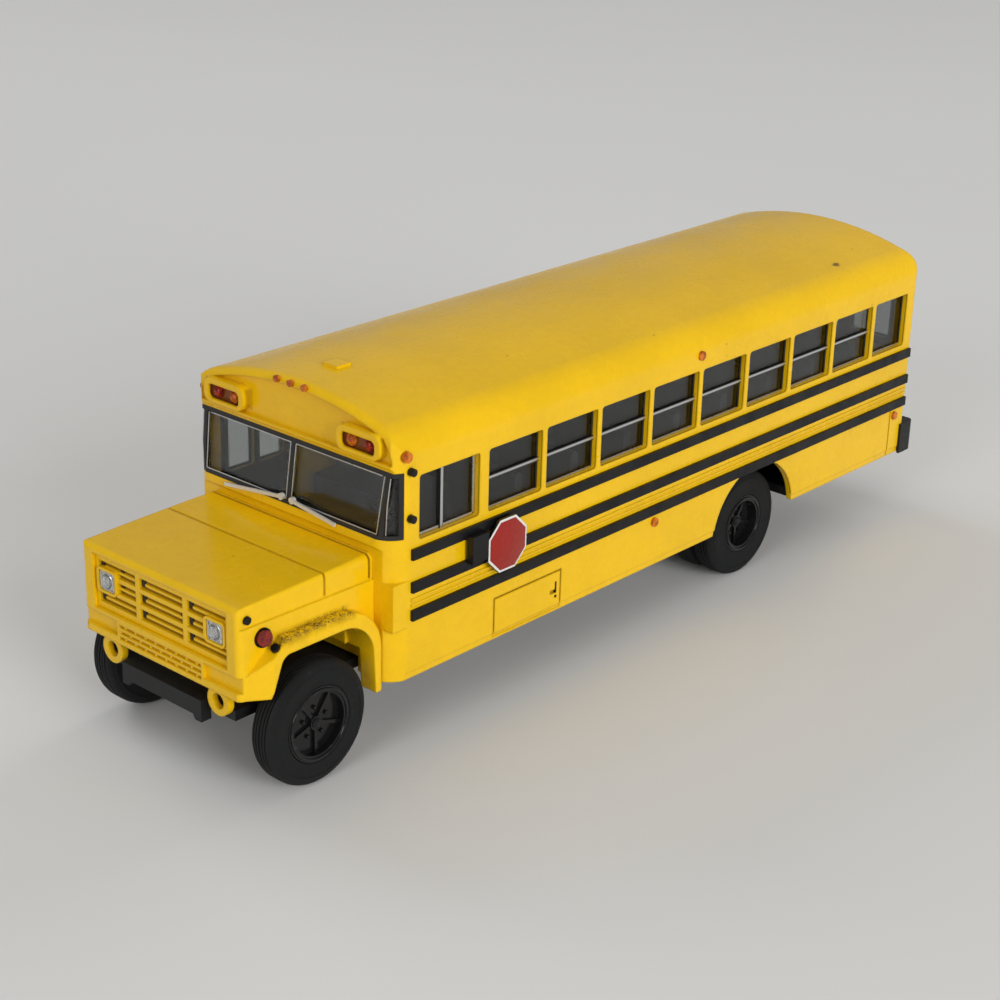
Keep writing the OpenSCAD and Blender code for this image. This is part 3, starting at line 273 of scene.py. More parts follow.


# Painted shade: the recessed faces on the sides of the shell, its grooves and window reveals, are
# darkened.
def side_groove_shade(tree, place):
    band = within(tree, place, across=(15.92, 16.06), along=(-59.5, 40.2), up=(9.5, 33.4), soft=hairline)
    return times(tree, band, 0.6), nib_and_groove_shade_colour


def pod_end_shade(tree, place):
    pod_up = (34.6, 36.8)
    fade = 0.3 * mm
    inner = within(tree, place, across=(7.3, 7.6), along=(42.75, 43.2), up=pod_up, soft=fade)
    outer = within(tree, place, across=(14.0, 14.18), along=(43.1, 43.3), up=pod_up, soft=fade)
    return times(tree, combine(tree, "MAXIMUM", inner, outer), 0.5), linear(110, 72, 8)


def pod_slot_shade(tree, place):
    slot = within(tree, place, across=(7.9, 13.7), along=(42.9, 43.45), up=(34.7, 36.6))
    return slot, linear(120, 62, 10)


# Painted shade in the bonnet seam and in the gap between the bonnet and the cowl.
def bonnet_seam_shade(tree, place):
    bonnet_up = (20.7, 26.0)
    seam = within(tree, place, along=(50.62, 50.88), up=bonnet_up, soft=hairline)
    gap = within(tree, place, along=(44.10, 44.40), up=bonnet_up, soft=hairline)
    dark = combine(tree, "MAXIMUM", times(tree, seam, 0.1), times(tree, gap, 0.3))
    return dark, nib_and_groove_shade_colour


ridge_along = (48.0, 58.6)


def wing_stain(tree, place):
    ridge = within(tree, place, across=(13.5, 14.1), along=ridge_along, up=(17.9, 18.4), soft=0.8 * mm)
    smear = remap(tree, cloud(tree, place, 700.0, 5.0, 0.7), 0.34, 0.62)
    return times(tree, times(tree, ridge, smear), 0.7), linear(104, 76, 22)


def wing_wear(tree, place):
    ridge = within(tree, place, across=(13.5, 14.0), along=ridge_along, up=(18.0, 18.5), soft=0.7 * mm)
    grit = remap(tree, cloud(tree, place, 5200.0, 4.0, 0.7), 0.46, 0.58)
    patch = remap(tree, cloud(tree, place, 640.0, 4.0, 0.65), 0.36, 0.58)
    return times(tree, times(tree, ridge, grit), patch), worn_metal


def paint_flecks(tree, place):
    drawn_out = stretched(tree, place, (0.55, 1.0, 1.0), 0.5)
    distance, chance = scattered(tree, drawn_out, 95.0)
    fray = times(tree, cloud(tree, place, 2600.0, 3.0, 0.7), 0.09)
    fleck = remap(tree, combine(tree, "ADD", distance, fray), 0.095, 0.075)
    kept_flecks = remap(tree, chance["Green"], 0.5, 0.55)
    return times(tree, fleck, kept_flecks), linear(110, 78, 12)


def grille_step_shade(tree, place):
    floor_band = within(tree, place, across=(0.0, 11.1), along=(61.0, 62.02), up=(15.4, 22.3))
    return times(tree, floor_band, 0.75), linear(112, 74, 10)


def enamel(name, colour, rough, marks=(), fineness=1.0, coat=0.2, edge=0.12):
    made, tree, shader, place = principled(name, colour, rough, coat=coat)
    shader.inputs["Coat Roughness"].default_value = 0.09
    shader.inputs["Specular IOR Level"].default_value = 0.25
    skin = use_group(tree, sprayed_skin, place, fineness)
    deep = tuple(0.93 * part for part in colour)
    pale = tuple(1.03 * part for part in colour)
    tone = tint(tree, skin["Tone"], deep, pale)
    tone = tint(tree, times(tree, skin["Nibs"], 0.7), tone, nib_and_groove_shade_colour)
    for mark in marks:
        share, stain = mark(tree, place)
        tone = tint(tree, share, tone, stain)
    tree.links.new(tone, shader.inputs["Base Color"])
    gloss_by(tree, shader, skin["Gloss"], 0.25, 0.75, 0.75 * rough, 1.35 * rough)
    relief(tree, shader, skin["Height"], 0.012 * mm, edge * mm)
    return made


def coat_nodes(finish, *names):
    for name in names:
        nodes[name].data.materials.clear()
        nodes[name].data.materials.append(finish)


body_marks = (side_groove_shade, pod_end_shade, pod_slot_shade, paint_flecks)
body_enamel = enamel("body_enamel", school_yellow, 0.26, body_marks, edge=0.3)
nose_marks = (bonnet_seam_shade, wing_stain, wing_wear, paint_flecks)
nose_enamel = enamel("nose_enamel", school_yellow, 0.24, nose_marks, edge=0.34)
grille_enamel = enamel("grille_enamel", school_yellow, 0.26, (grille_step_shade,), edge=0.2)
coat_nodes(body_enamel, "body_casting", "tow_eyes")
coat_nodes(nose_enamel, "nose_casting")
coat_nodes(grille_enamel, "grille_panel")


# The small hatch in the driver's skirt has a dark latch: a slotted plate with a short pull under
# it, pressed from thin sheet and painted over. It stands a hair proud of the panel.
def flat_bar(shape, start, end, width, depth, out):
    along = Vector(end) - Vector(start)
    length = along.length
    along.normalize()
    out = Vector(out)
    out = (out - out.dot(along) * along).normalized()
    turn = Matrix((along, out.cross(along), out)).transposed().to_4x4()
    size = Matrix.Diagonal((length, width, depth, 1.0))
    seat = Matrix.Translation((Vector(start) + Vector(end)) / 2)
    corners = bmesh.ops.create_cube(shape, size=1.0, matrix=seat @ turn @ size)["verts"]
    edges = list({edge for corner in corners for edge in corner.link_edges})
    bmesh.ops.bevel(shape, geom=edges, offset=0.28 * min(width, depth), offset_type="OFFSET",
        segments=2, profile=0.5, affect="EDGES", material=-1)


sharp_angle = math.radians(38)


def settle(name, shape, finish, body="bus", replaced=()):
    bmesh.ops.scale(shape, vec=(mm, mm, mm), verts=shape.verts)
    mesh = bpy.data.meshes.new(name)
    shape.to_mesh(mesh)
    shape.free()
    mesh.shade_smooth()
    mesh.set_sharp_from_angle(angle=sharp_angle)
    mesh.materials.append(finish)
    made = bpy.data.objects.new(name, mesh)
    scene.collection.objects.link(made)
    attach(made, body)
    if replaced:
        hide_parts(*replaced)


side_y = 16.2
latch_x = 16.35
latch_y = side_y - 0.05
trim_enamel = enamel("trim_enamel", (0.006, 0.006, 0.007), 0.42, fineness=1.4, coat=0.05)
shape = bmesh.new()
flat_bar(shape, (latch_x, latch_y, 10.9), (latch_x, latch_y, 12.4), 0.26, 0.24, (0, 1, 0))
flat_bar(shape, (latch_x, latch_y, 10.3), (latch_x, latch_y, 10.65), 0.36, 0.3, (0, 1, 0))
settle("hatch_latch", shape, trim_enamel)


# Three black rub rails run along each side of the shell, masked and sprayed after the yellow.
# The mirror pegs and the arm of the stop sign are in the same satin black.
coat_nodes(trim_enamel, "rub_rails", "mirror_pegs", "stop_sign_arm")


# Grille: the panel is cast with closed slots. At the end of some of them a flat black piece lies on
# the slot floor as painted shade, for the dark at the shaded end of the recess.
opening_shade_black, tree, shader, place = principled("opening_shade_black", (0.010, 0.008, 0.005), 0.6)
colour_by(tree, shader, cloud(tree, place, 3000.0, 2.0), (0.006, 0.005, 0.004), (0.02, 0.015, 0.008))
shape = bmesh.new()
slot_floor_x = 61.99
slot_rows = (17.017, 18.85, 20.683)
# Openings as [y at the middle, rows of slots they stand in]
for y, rows in ((-3.15, (0, 1, 2)), (4.65, (0, 1, 2)), (-6.75, (1, 2)), (-10.1, (0, 2)), (3.2, (1,))):
    for row in rows:
        z = slot_rows[row]
        flat_bar(shape, (slot_floor_x, y, z - 0.42), (slot_floor_x, y, z + 0.42), 0.62, 0.3, (1, 0, 0))
settle("grille_slot_shade", shape, opening_shade_black)


# Lower vents: three rows of short slots in the apron of the nose, parted by small upright bridges
# in staggered order. They are cast with the nose and sprayed with it.
vent_rows = (13.2, 13.9, 14.6)
vent_x = 62.55
bridge_pitch = 1.7
shape = bmesh.new()
for row, z in enumerate(vent_rows):
    for k in range(8):
        y = -5.9 + bridge_pitch * k - bridge_pitch / 2 * (row % 2)
        flat_bar(shape, (vent_x, y, z - 0.2), (vent_x, y, z + 0.2), 0.34, 0.5, (1, 0, 0))
settle("vent_bridges", shape, grille_enamel)


# Headlamps: a square fluted insert in each frame of the grille, with a bright printed edge. A round
# silvered bowl stands in it under a clear domed lens, both moulded and pressed in.
def ridges(tree, place, scale, waver=0.0):
    node = tree.nodes.new("ShaderNodeTexWave")
    node.bands_direction = "Y"
    node.inputs["Scale"].default_value = scale
    node.inputs["Distortion"].default_value = waver
    tree.links.new(place, node.inputs["Vector"])
    return node.outputs[0]


lamp_glass, tree, shader, place = principled("lamp_glass", (0.82, 0.83, 0.82), 0.12,
    metal=0.85, coat=1.0)
colour_by(tree, shader, cloud(tree, place, 500.0, 2.0), (0.55, 0.56, 0.55), (0.92, 0.93, 0.92))
relief(tree, shader, ridges(tree, place, 640.0, 0.6), 0.05 * mm)
coat_nodes(lamp_glass, "headlamps")
headlamp_y = 8.9
headlamp_z = 19.2
frame_x = 62.56
frame_half = 1.1
shape = bmesh.new()
for side in (-1, 1):
    middle = side * headlamp_y
    for y in (middle - frame_half, middle + frame_half):
        flat_bar(shape, (frame_x, y, 18.25), (frame_x, y, 20.15), 0.14, 0.12, (1, 0, 0))
    for z in (18.15, 20.25):
        start = (frame_x, middle - frame_half, z)
        end = (frame_x, middle + frame_half, z)
        flat_bar(shape, start, end, 0.14, 0.12, (1, 0, 0))
silver_print, tree, shader, place = principled("silver_print", (0.66, 0.67, 0.67), 0.34, metal=0.9)
flake = cloud(tree, place, 5200.0, 2.0)
colour_by(tree, shader, flake, (0.52, 0.53, 0.53), (0.78, 0.79, 0.79))
gloss_by(tree, shader, cloud(tree, place, 900.0, 3.0), 0.3, 0.7, 0.26, 0.46)
relief(tree, shader, flake, 0.006 * mm)
settle("headlamp_frames", shape, silver_print)


def lathe(shape, outline, centre, axis, steps=48, ring=False):
    centre = Vector(centre)
    axis = Vector(axis).normalized()
    side = axis.orthogonal().normalized()
    points = [shape.verts.new(centre + side * radius + axis * height) for radius, height in outline]
    pairs = list(zip(points, points[1:]))
    if ring:
        pairs.append((points[-1], points[0]))
    edges = [shape.edges.new(pair) for pair in pairs]
    bmesh.ops.spin(shape, geom=points + edges, cent=centre, axis=axis, angle=2 * math.pi,
        steps=steps, use_merge=True)


def close_up(shape):
    bmesh.ops.remove_doubles(shape, verts=shape.verts, dist=0.0002)
    bmesh.ops.recalc_face_normals(shape, faces=shape.faces)


# Outlines that are turned round an axis are given as [radius, height along the axis]
bowl_outline = ((0.0, -0.06), (1.05, -0.06), (1.07, 0.10), (1.0, 0.17), (0.92, 0.15), (0.86, 0.06),
    (0.5, 0.03), (0.0, 0.02))
lens_face = ((0.0, 0.0), (0.84, 0.0), (0.84, 0.08), (0.7, 0.18), (0.5, 0.24), (0.25, 0.28),
    (0.0, 0.29))
bowls = bmesh.new()
lenses = bmesh.new()
for side in (-1, 1):
    lathe(bowls, bowl_outline, (62.53, side * headlamp_y, headlamp_z), (1, 0, 0), 40)
    lathe(lenses, lens_face, (62.57, side * headlamp_y, headlamp_z), (1, 0, 0), 40)
close_up(bowls)
close_up(lenses)
settle("headlamp_bowls", bowls, silver_print)
lamp_lens, tree, shader, place = principled("lamp_lens", (0.94, 0.95, 0.94), 0.03)
shader.inputs["Transmission Weight"].default_value = 1.0
shader.inputs["IOR"].default_value = 1.45
gloss_by(tree, shader, cloud(tree, place, 900.0, 3.0), 0.4, 0.8, 0.02, 0.12)
relief(tree, shader, ridges(tree, place, 900.0), 0.02 * mm)
settle("headlamp_lenses", lenses, lamp_lens)


# The glazing is one clear moulding for each side, lightly smoked, that clips in behind the window
# openings; bright lines are printed round the panes and the sash bars lie on its face.
def clear_moulding(name, colour):
    made, tree, shader, place = principled(name, colour, 0.05)
    shader.inputs["Transmission Weight"].default_value = 1.0
    shader.inputs["IOR"].default_value = 1.45
    haze = cloud(tree, place, 300.0, 4.0, 0.65)
    gloss_by(tree, shader, haze, 0.45, 0.8, 0.02, 0.16)
    relief(tree, shader, cloud(tree, place, 120.0, 1.0), 0.02 * mm)
    return made


smoked_glazing = clear_moulding("smoked_glazing", (0.44, 0.46, 0.46))
coat_nodes(smoked_glazing, "glazing_left", "glazing_right", "glazing_rear")
sash_print, tree, shader, place = principled("sash_print", (0.66, 0.67, 0.67), 0.34, metal=0.9)
cross_line = within(tree, place, up=(28.56, 28.80), along=(-60.0, 29.0), soft=0.04 * mm)
post_line = within(tree, place, along=(35.46, 35.80), soft=0.04 * mm)
bright = combine(tree, "MAXIMUM", cross_line, post_line)
flake = cloud(tree, place, 5200.0, 2.0)
silver = tint(tree, flake, (0.50, 0.51, 0.51), (0.76, 0.77, 0.77))
colour_by(tree, shader, bright, (0.012, 0.012, 0.012), silver)
tree.links.new(times(tree, bright, 0.9), shader.inputs["Metallic"])
gloss_by(tree, shader, flake, 0.3, 0.7, 0.28, 0.46)
coat_nodes(sash_print, "sash_bars")

line_y = 15.36
sill_z = 24.9
head_z = 32.4
first_x = 28.625
pitch = 9.86
window_w = 9.12
spans = [(first_x - k * pitch - window_w, first_x - k * pitch) for k in range(8)]
spans.append((-58.375, -50.255))
driver_rear_x = 30.2
driver_front_x = 39.6


def level_line(shape, side, rear, front, z, width, depth):
    y = side * line_y
    flat_bar(shape, (rear, y, z), (front, y, z), width, depth, (0, side, 0))


def upright_line(shape, side, x, inset, width, depth):
    y = side * line_y
    flat_bar(shape, (x, y, sill_z + inset), (x, y, head_z - inset), width, depth, (0, side, 0))


# The black strips in the second mesh, along the rear edge of each pane and the front edge of the
# driver's window, are painted shadow.
shape = bmesh.new()
shadow = bmesh.new()
for side in (-1, 1):
    for rear, front in spans:
        level_line(shape, side, rear + 0.12, front - 0.12, sill_z + 0.11, 0.20, 0.14)
        upright_line(shape, side, front - 0.1, 0.1, 0.14, 0.12)
        level_line(shape, side, rear + 0.12, front - 0.12, head_z - 0.09, 0.12, 0.12)
        upright_line(shadow, side, rear + 0.14, 0.05, 0.26, 0.14)
upright_line(shape, 1, driver_rear_x + 0.1, 0.1, 0.36, 0.16)
level_line(shape, 1, driver_rear_x, driver_front_x, sill_z + 0.2, 0.34, 0.16)
level_line(shape, 1, driver_rear_x, driver_front_x, head_z - 0.12, 0.16, 0.14)
upright_line(shadow, 1, driver_front_x - 0.1, 0.05, 0.34, 0.14)
settle("window_lines", shape, silver_print)
# One black rubber finish serves both the real rubbers and the painted shadow strips at the window edges.
black_rubber_and_shade, tree, shader, place = principled("black_rubber_and_shade", (0.012, 0.012, 0.012), 0.55)
grain = cloud(tree, place, 4200.0, 3.0)
colour_by(tree, shader, grain, (0.006, 0.006, 0.006), (0.026, 0.026, 0.027))
relief(tree, shader, grain, 0.01 * mm)
settle("window_edge_shadows", shadow, black_rubber_and_shade)


# The windscreen sits in a black rubber strip with bright inner lines: two flat panes that lean
# back, a middle bar, and a narrow curved pane round each front corner.
coat_nodes(black_rubber_and_shade, "windscreen_gasket")
coat_nodes(clear_moulding("screen_moulding", (0.80, 0.82, 0.82)), "windscreen")
cowl_x = 44.125
lean = 1.2
cowl_z = 24.6
header_z = 33.4
corner_r = 3.2


def screen_point(y, z, out):
    inward = max(0.0, abs(y) - (side_y - corner_r))
    plan_x = cowl_x - corner_r + math.sqrt(corner_r ** 2 - inward ** 2)
    profile_x = cowl_x - lean * (z - cowl_z) / (header_z - cowl_z)
    return (min(plan_x, profile_x) + out, y, z)


low_line = 26.1
waist_line = 29.4
high_line = 32.6
pane_in = 0.42
pane_bend = 12.9
pane_out = 13.85
line_sink = -0.02
lean_out = (1, 0, 0.13)


def screen_line(shape, start, end):
    flat_bar(shape, start, end, 0.13, 0.1, lean_out)


shape = bmesh.new()
for side in (-1, 1):
    for z in (low_line, high_line):
        bend = screen_point(side * pane_bend, z, line_sink)
        screen_line(shape, screen_point(side * pane_in, z, line_sink), bend)
        screen_line(shape, bend, screen_point(side * pane_out, z, line_sink))
    for start_y, end_y in ((pane_in, pane_in), (pane_out, 14.2), (14.85, 15.1)):
        foot = screen_point(side * start_y, low_line, line_sink)
        waist = screen_point(side * (start_y + end_y) / 2, waist_line, line_sink)
        head = screen_point(side * end_y, high_line, line_sink)
        screen_line(shape, foot, waist)
        screen_line(shape, waist, head)
settle("windscreen_lines", shape, silver_print)


# Wipers: a silvered arm for each pane, pivoted beside the middle bar and lying low on the glass,
# with a thin black rubber blade along its underside.
wiper_silver, tree, shader, place = principled("wiper_silver", (0.78, 0.79, 0.79), 0.38, metal=0.45)
speckle = cloud(tree, place, 4200.0, 2.0)
colour_by(tree, shader, speckle, (0.62, 0.63, 0.63), (0.88, 0.89, 0.89))
gloss_by(tree, shader, speckle, 0.3, 0.7, 0.3, 0.5)
coat_nodes(wiper_silver, "wiper_left", "wiper_right")
blade_droop = 0.1228
shape = bmesh.new()
for side, reach in ((1, 6.4), (-1, 8.9)):
    start = (44.12, side * 1.6, 26.12)
    end = (44.24, side * (0.9 + reach), 26.3 - blade_droop * reach - 0.13)
    flat_bar(shape, start, end, 0.16, 0.14, (1, 0, 0.1))
settle("wiper_rubbers", shape, black_rubber_and_shade)


# Warning lamps: round moulded lenses in the slots of the hooded pods, red outside and amber
# inside, each with a stepped rim and a domed face. The markers are smaller and of one piece.
def lens_finish(name, deep, bright):
    made, tree, shader, place = principled(name, bright, 0.16, coat=0.1)
    shader.inputs["Specular IOR Level"].default_value = 0.3
    patches = remap(tree, cloud(tree, place, 1500.0, 3.0, 0.6), 0.36, 0.64)
    colour_by(tree, shader, patches, deep, bright)
    gloss_by(tree, shader, cloud(tree, place, 2600.0, 2.0), 0.3, 0.7, 0.1, 0.3)
    relief(tree, shader, cloud(tree, place, 2200.0, 2.0), 0.02 * mm)
    return made


lens_red = lens_finish("lens_red", (0.12, 0.006, 0.003), (0.34, 0.018, 0.006))
lens_amber = lens_finish("lens_amber", (0.30, 0.055, 0.004), (0.66, 0.18, 0.010))
lens_outline = ((0.0, 0.0), (0.73, 0.0), (0.73, 0.22), (0.68, 0.27), (0.60, 0.27), (0.60, 0.33),
    (0.52, 0.45), (0.36, 0.54), (0.18, 0.59), (0.0, 0.60))
pod_y = 10.8
lamp_pitch = 2.7
slot_z = 35.625
front_slot_x = 43.125
rear_slot_x = -60.775
for name, finish, slot, step in (
    ("warning_lamps_red", lens_red, "lamp_red", 1),
    ("warning_lamps_amber", lens_amber, "lamp_amber", -1),
):
    shape = bmesh.new()
    for side in (-1, 1):
        y = side * (pod_y + step * lamp_pitch / 2)
        lathe(shape, lens_outline, (front_slot_x, y, slot_z), (1, 0, 0), 32)
        lathe(shape, lens_outline, (rear_slot_x, y, slot_z), (-1, 0, 0), 32)
    close_up(shape)
    settle(name.replace("lamps", "lenses"), shape, finish, replaced=(name,))
coat_nodes(lens_amber, "marker_lamps")


# Wing and tail lamps: dark red moulded lenses pressed into the castings. The wing lamps have a thin
# black rim that follows the slope of the wing, and the tail lamps a turned bright bezel.
shape = bmesh.new()
rim_outline = ((0.90, 0.0), (1.10, 0.0), (1.10, 0.16), (1.02, 0.24), (0.93, 0.2))
for side in (-1, 1):
    lathe(shape, rim_outline, (59.675, side * 13.02, 19.0), (0.138, side * 0.981, 0.139), 36, ring=True)
close_up(shape)
settle("wing_lamp_rims", shape, trim_enamel)
lens_brown_red = lens_finish("lens_brown_red", (0.07, 0.006, 0.004), (0.22, 0.02, 0.012))
coat_nodes(lens_brown_red, "wing_lamps", "tail_lamps")
tail_lamp_y = 10.6
shape = bmesh.new()
bezel_outline = ((1.16, 0.0), (1.42, 0.0), (1.44, 0.16), (1.38, 0.34), (1.28, 0.40), (1.18, 0.34))
for side in (-1, 1):
    for z in (15.49, 19.2):
        lathe(shape, bezel_outline, (-60.58, side * tail_lamp_y, z), (-1, 0, 0), 40, ring=True)
close_up(shape)
settle("tail_lamp_bezels", shape, silver_print)


# The stop sign is an eight-sided plate on a black arm: a white printed border round a plain red
# field. Two rivet heads hold the arm to the body.
sign_white = enamel("sign_white", (0.76, 0.76, 0.74), 0.32, fineness=1.3)
sign_red = enamel("sign_red", linear(152, 34, 26), 0.3, fineness=1.3)


def sign_edge_black(tree, place):
    return within(tree, place, across=(16.0, 17.36), soft=hairline), (0.008, 0.008, 0.008)


sign_plate_enamel = enamel("sign_plate_enamel", (0.76, 0.76, 0.74), 0.32, (sign_edge_black,),
    fineness=1.3)
coat_nodes(sign_plate_enamel, "stop_sign_plate")
field_r = 2.92 / math.cos(math.pi / 8)
shape = bmesh.new()
sign_seat = Matrix.Translation((26.525, 17.41, 20.75)) @ Matrix.Rotation(math.radians(-90), 4, "X")
sign_turn = Matrix.Rotation(math.radians(22.5), 4, "Z")
bmesh.ops.create_cone(shape, cap_ends=True, segments=8, radius1=field_r, radius2=field_r, depth=0.14,
    matrix=sign_seat @ sign_turn)
bmesh.ops.bevel(shape, geom=shape.edges[:], offset=0.03, offset_type="OFFSET", segments=2,
    profile=0.5, affect="EDGES", material=-1)
settle("sign_red_field", shape, sign_red, replaced=("stop_sign_face",))
rivet_outline = ((0.0, -0.05), (0.26, -0.05), (0.26, 0.04), (0.20, 0.13), (0.10, 0.17), (0.0, 0.18))
shape = bmesh.new()
for x, z in ((31.05, 20.6), (31.05, 22.3)):
    lathe(shape, rivet_outline, (x, 17.31, z), (0, 1, 0), 20)
close_up(shape)
settle("sign_hinge_rivets", shape, trim_enamel)


# Cabin: one grey plastic tray with the floor and all benches, a separate driver's seat, and a
# black dashboard with its steering wheel. All are matt mouldings with a fine grain.
moulded_skin, spot, out = effect_group("moulded_skin", ("Tone", "Height", "Dust"))
broad = cloud(moulded_skin, spot, 160.0, 3.0)
moulded_skin.links.new(remap(moulded_skin, broad, 0.3, 0.7), out["Tone"])
moulded_skin.links.new(cloud(moulded_skin, spot, 5200.0, 3.0, 0.6), out["Height"])
dust_grains = remap(moulded_skin, cloud(moulded_skin, spot, 1900.0, 2.0), 0.62, 0.78)
dust_patches = remap(moulded_skin, cloud(moulded_skin, spot, 90.0, 1.0), 0.4, 0.7)
moulded_skin.links.new(times(moulded_skin, dust_grains, dust_patches), out["Dust"])


def moulded(name, colour, rough, fineness=1.0, dust=(0.10, 0.10, 0.095), depth=0.012 * mm):
    made, tree, shader, place = principled(name, colour, rough)
    shader.inputs["Specular IOR Level"].default_value = 0.3
    skin = use_group(tree, moulded_skin, place, fineness)
    deep = tuple(0.75 * part for part in colour)
    pale = tuple(1.3 * part for part in colour)
    tone = tint(tree, skin["Tone"], deep, pale)
    tone = tint(tree, times(tree, skin["Dust"], 0.6), tone, dust)
    tree.links.new(tone, shader.inputs["Base Color"])
    gloss_by(tree, shader, skin["Tone"], 0.0, 1.0, 0.85 * rough, 1.15 * rough)
    relief(tree, shader, skin["Height"], depth)
    return made


tray_plastic = moulded("tray_plastic", (0.085, 0.09, 0.095), 0.6)
base_plastic = moulded("base_plastic", (0.011, 0.0115, 0.012), 0.5)
coat_nodes(tray_plastic, "seat_tray", "driver_seat")
coat_nodes(base_plastic, "dashboard", "steering_wheel")
shape = bmesh.new()
for y in (-4.5, -1.5, 1.5):
    flat_bar(shape, (39.7, y - 1.0, 24.55), (39.7, y + 1.0, 24.55), 0.5, 0.12, (-0.2, 0, 1))
settle("dashboard_ribs", shape, base_plastic)


# Entrance door on the kerb side: two cast leaves with rubber strips round their panes, a rubber
# edge where the leaves meet, and a small bright pull handle.
leaf = 4.825
leaf_margin = 0.5
door_rear_x = 30.075
door_y = -15.95
shape = bmesh.new()
for k in (0, 1):
    rear = door_rear_x + k * leaf + leaf_margin
    front = door_rear_x + (k + 1) * leaf - leaf_margin
    for low, high in ((23.95, 32.35), (10.85, 18.15)):
        for x in (rear + 0.08, front - 0.08):
            flat_bar(shape, (x, door_y, low), (x, door_y, high), 0.22, 0.3, (0, -1, 0))
        for z in (low + 0.08, high - 0.08):
            flat_bar(shape, (rear, door_y, z), (front, door_y, z), 0.22, 0.3, (0, -1, 0))
flat_bar(shape, (34.9, -16.06, 10.1), (34.9, -16.06, 32.8), 0.2, 0.2, (0, -1, 0))
settle("door_rubbers", shape, black_rubber_and_shade)
handle_x = 36.2
shape = bmesh.new()
flat_bar(shape, (handle_x, -16.5, 20.4), (handle_x, -16.5, 22.6), 0.28, 0.24, (0, -1, 0))
for z in (20.55, 22.45):
    flat_bar(shape, (handle_x, -16.1, z), (handle_x, -16.55, z), 0.26, 0.26, (1, 0, 0))
settle("door_handle", shape, silver_print)


# Rear face: the emergency door has three hinges and a lever, and a plain white plate is fixed below
# its lower pane. The black bumper is a separate moulding that wraps the corners.
rear_x = -60.575
leaf_x = rear_x - 0.12
pin_x = rear_x - 0.3
pin_y = -5.2
shape = bmesh.new()
for z in (21.6, 30.9, 13.9):
    flat_bar(shape, (leaf_x, pin_y - 0.7, z), (leaf_x, pin_y + 0.7, z), 0.7, 0.3, (-1, 0, 0))
    flat_bar(shape, (pin_x, pin_y, z - 0.4), (pin_x, pin_y, z + 0.4), 0.34, 0.34, (-1, 0, 0))
settle("rear_door_hinges", shape, body_enamel)
lever_x = rear_x - 0.5
lever_z = 22.3
shape = bmesh.new()
flat_bar(shape, (lever_x, 1.6, lever_z), (lever_x, 4.2, lever_z), 0.32, 0.24, (-1, 0, 0))
for y in (1.8, 4.0):
    flat_bar(shape, (rear_x + 0.1, y, lever_z), (lever_x, y, lever_z), 0.28, 0.28, (0, 1, 0))
settle("rear_door_lever", shape, silver_print)
shape = bmesh.new()
flat_bar(shape, (rear_x - 0.1, -2.0, 13.95), (rear_x - 0.1, 2.0, 13.95), 1.7, 0.24, (-1, 0, 0))
settle("blank_plate", shape, sign_white)
rubber_x = rear_x + 0.2
shape = bmesh.new()
# Rear panes as [right edge, left edge, lower edge, upper edge]
for right, left, low, high in (
    (-4.2, 4.2, 24.3, 32.4),
    (-4.2, 4.2, 15.2, 20.2),
    (6.2, 12.6, 24.9, 32.4),
    (-12.6, -6.2, 24.9, 32.4),
):
    for y in (right + 0.1, left - 0.1):
        flat_bar(shape, (rubber_x, y, low), (rubber_x, y, high), 0.22, 0.3, (-1, 0, 0))
    for z in (low + 0.1, high - 0.1):
        flat_bar(shape, (rubber_x, right, z), (rubber_x, left, z), 0.22, 0.3, (-1, 0, 0))
settle("rear_window_rubbers", shape, black_rubber_and_shade)
coat_nodes(base_plastic, "rear_bumper", "front_bar")


# Base: one black plastic plate with moulded frame rails, tank, silencer and axle carriers. Cross
# members and rivet heads are moulded on, and the plate is held by the two screw bosses.
coat_nodes(base_plastic, "base_plate", "front_axle_carrier", "rear_axle_housing", "stand_bosses",
    "fuel_tank", "exhaust")
base_z = 8.9
spine_z = base_z - 0.35
outrigger_z = base_z - 0.15
shape = bmesh.new()
for x in (36.0, 26.0, 6.0, -6.0, -36.0, -48.0):
    flat_bar(shape, (x, -3.5, spine_z), (x, 3.5, spine_z), 1.1, 0.8, (0, 0, -1))
for x in (18.0, -12.0, -44.0):
    for side in (-1, 1):
        start = (x, side * 4.5, outrigger_z)
        flat_bar(shape, start, (x, side * 13.6, outrigger_z), 0.6, 0.4, (0, 0, -1))
settle("base_cross_members", shape, base_plastic)
shape = bmesh.new()
base_rivet = ((0.0, -0.05), (0.8, -0.05), (0.8, 0.12), (0.62, 0.36), (0.34, 0.5), (0.0, 0.54))
for x, y in ((31.0, 0.0), (-53.0, 0.0), (-53.0, 9.0), (-53.0, -9.0), (31.0, 10.5)):
    lathe(shape, base_rivet, (x, y, base_z), (0, 0, -1), 28)
tank_low_z = 6.25
for x in (0.9, 4.2, 10.6, 13.8):
    flat_bar(shape, (x, -14.1, tank_low_z), (x, -7.2, tank_low_z), 0.3, 0.14, (0, 0, -1))
close_up(shape)
settle("base_rivets", shape, base_plastic)


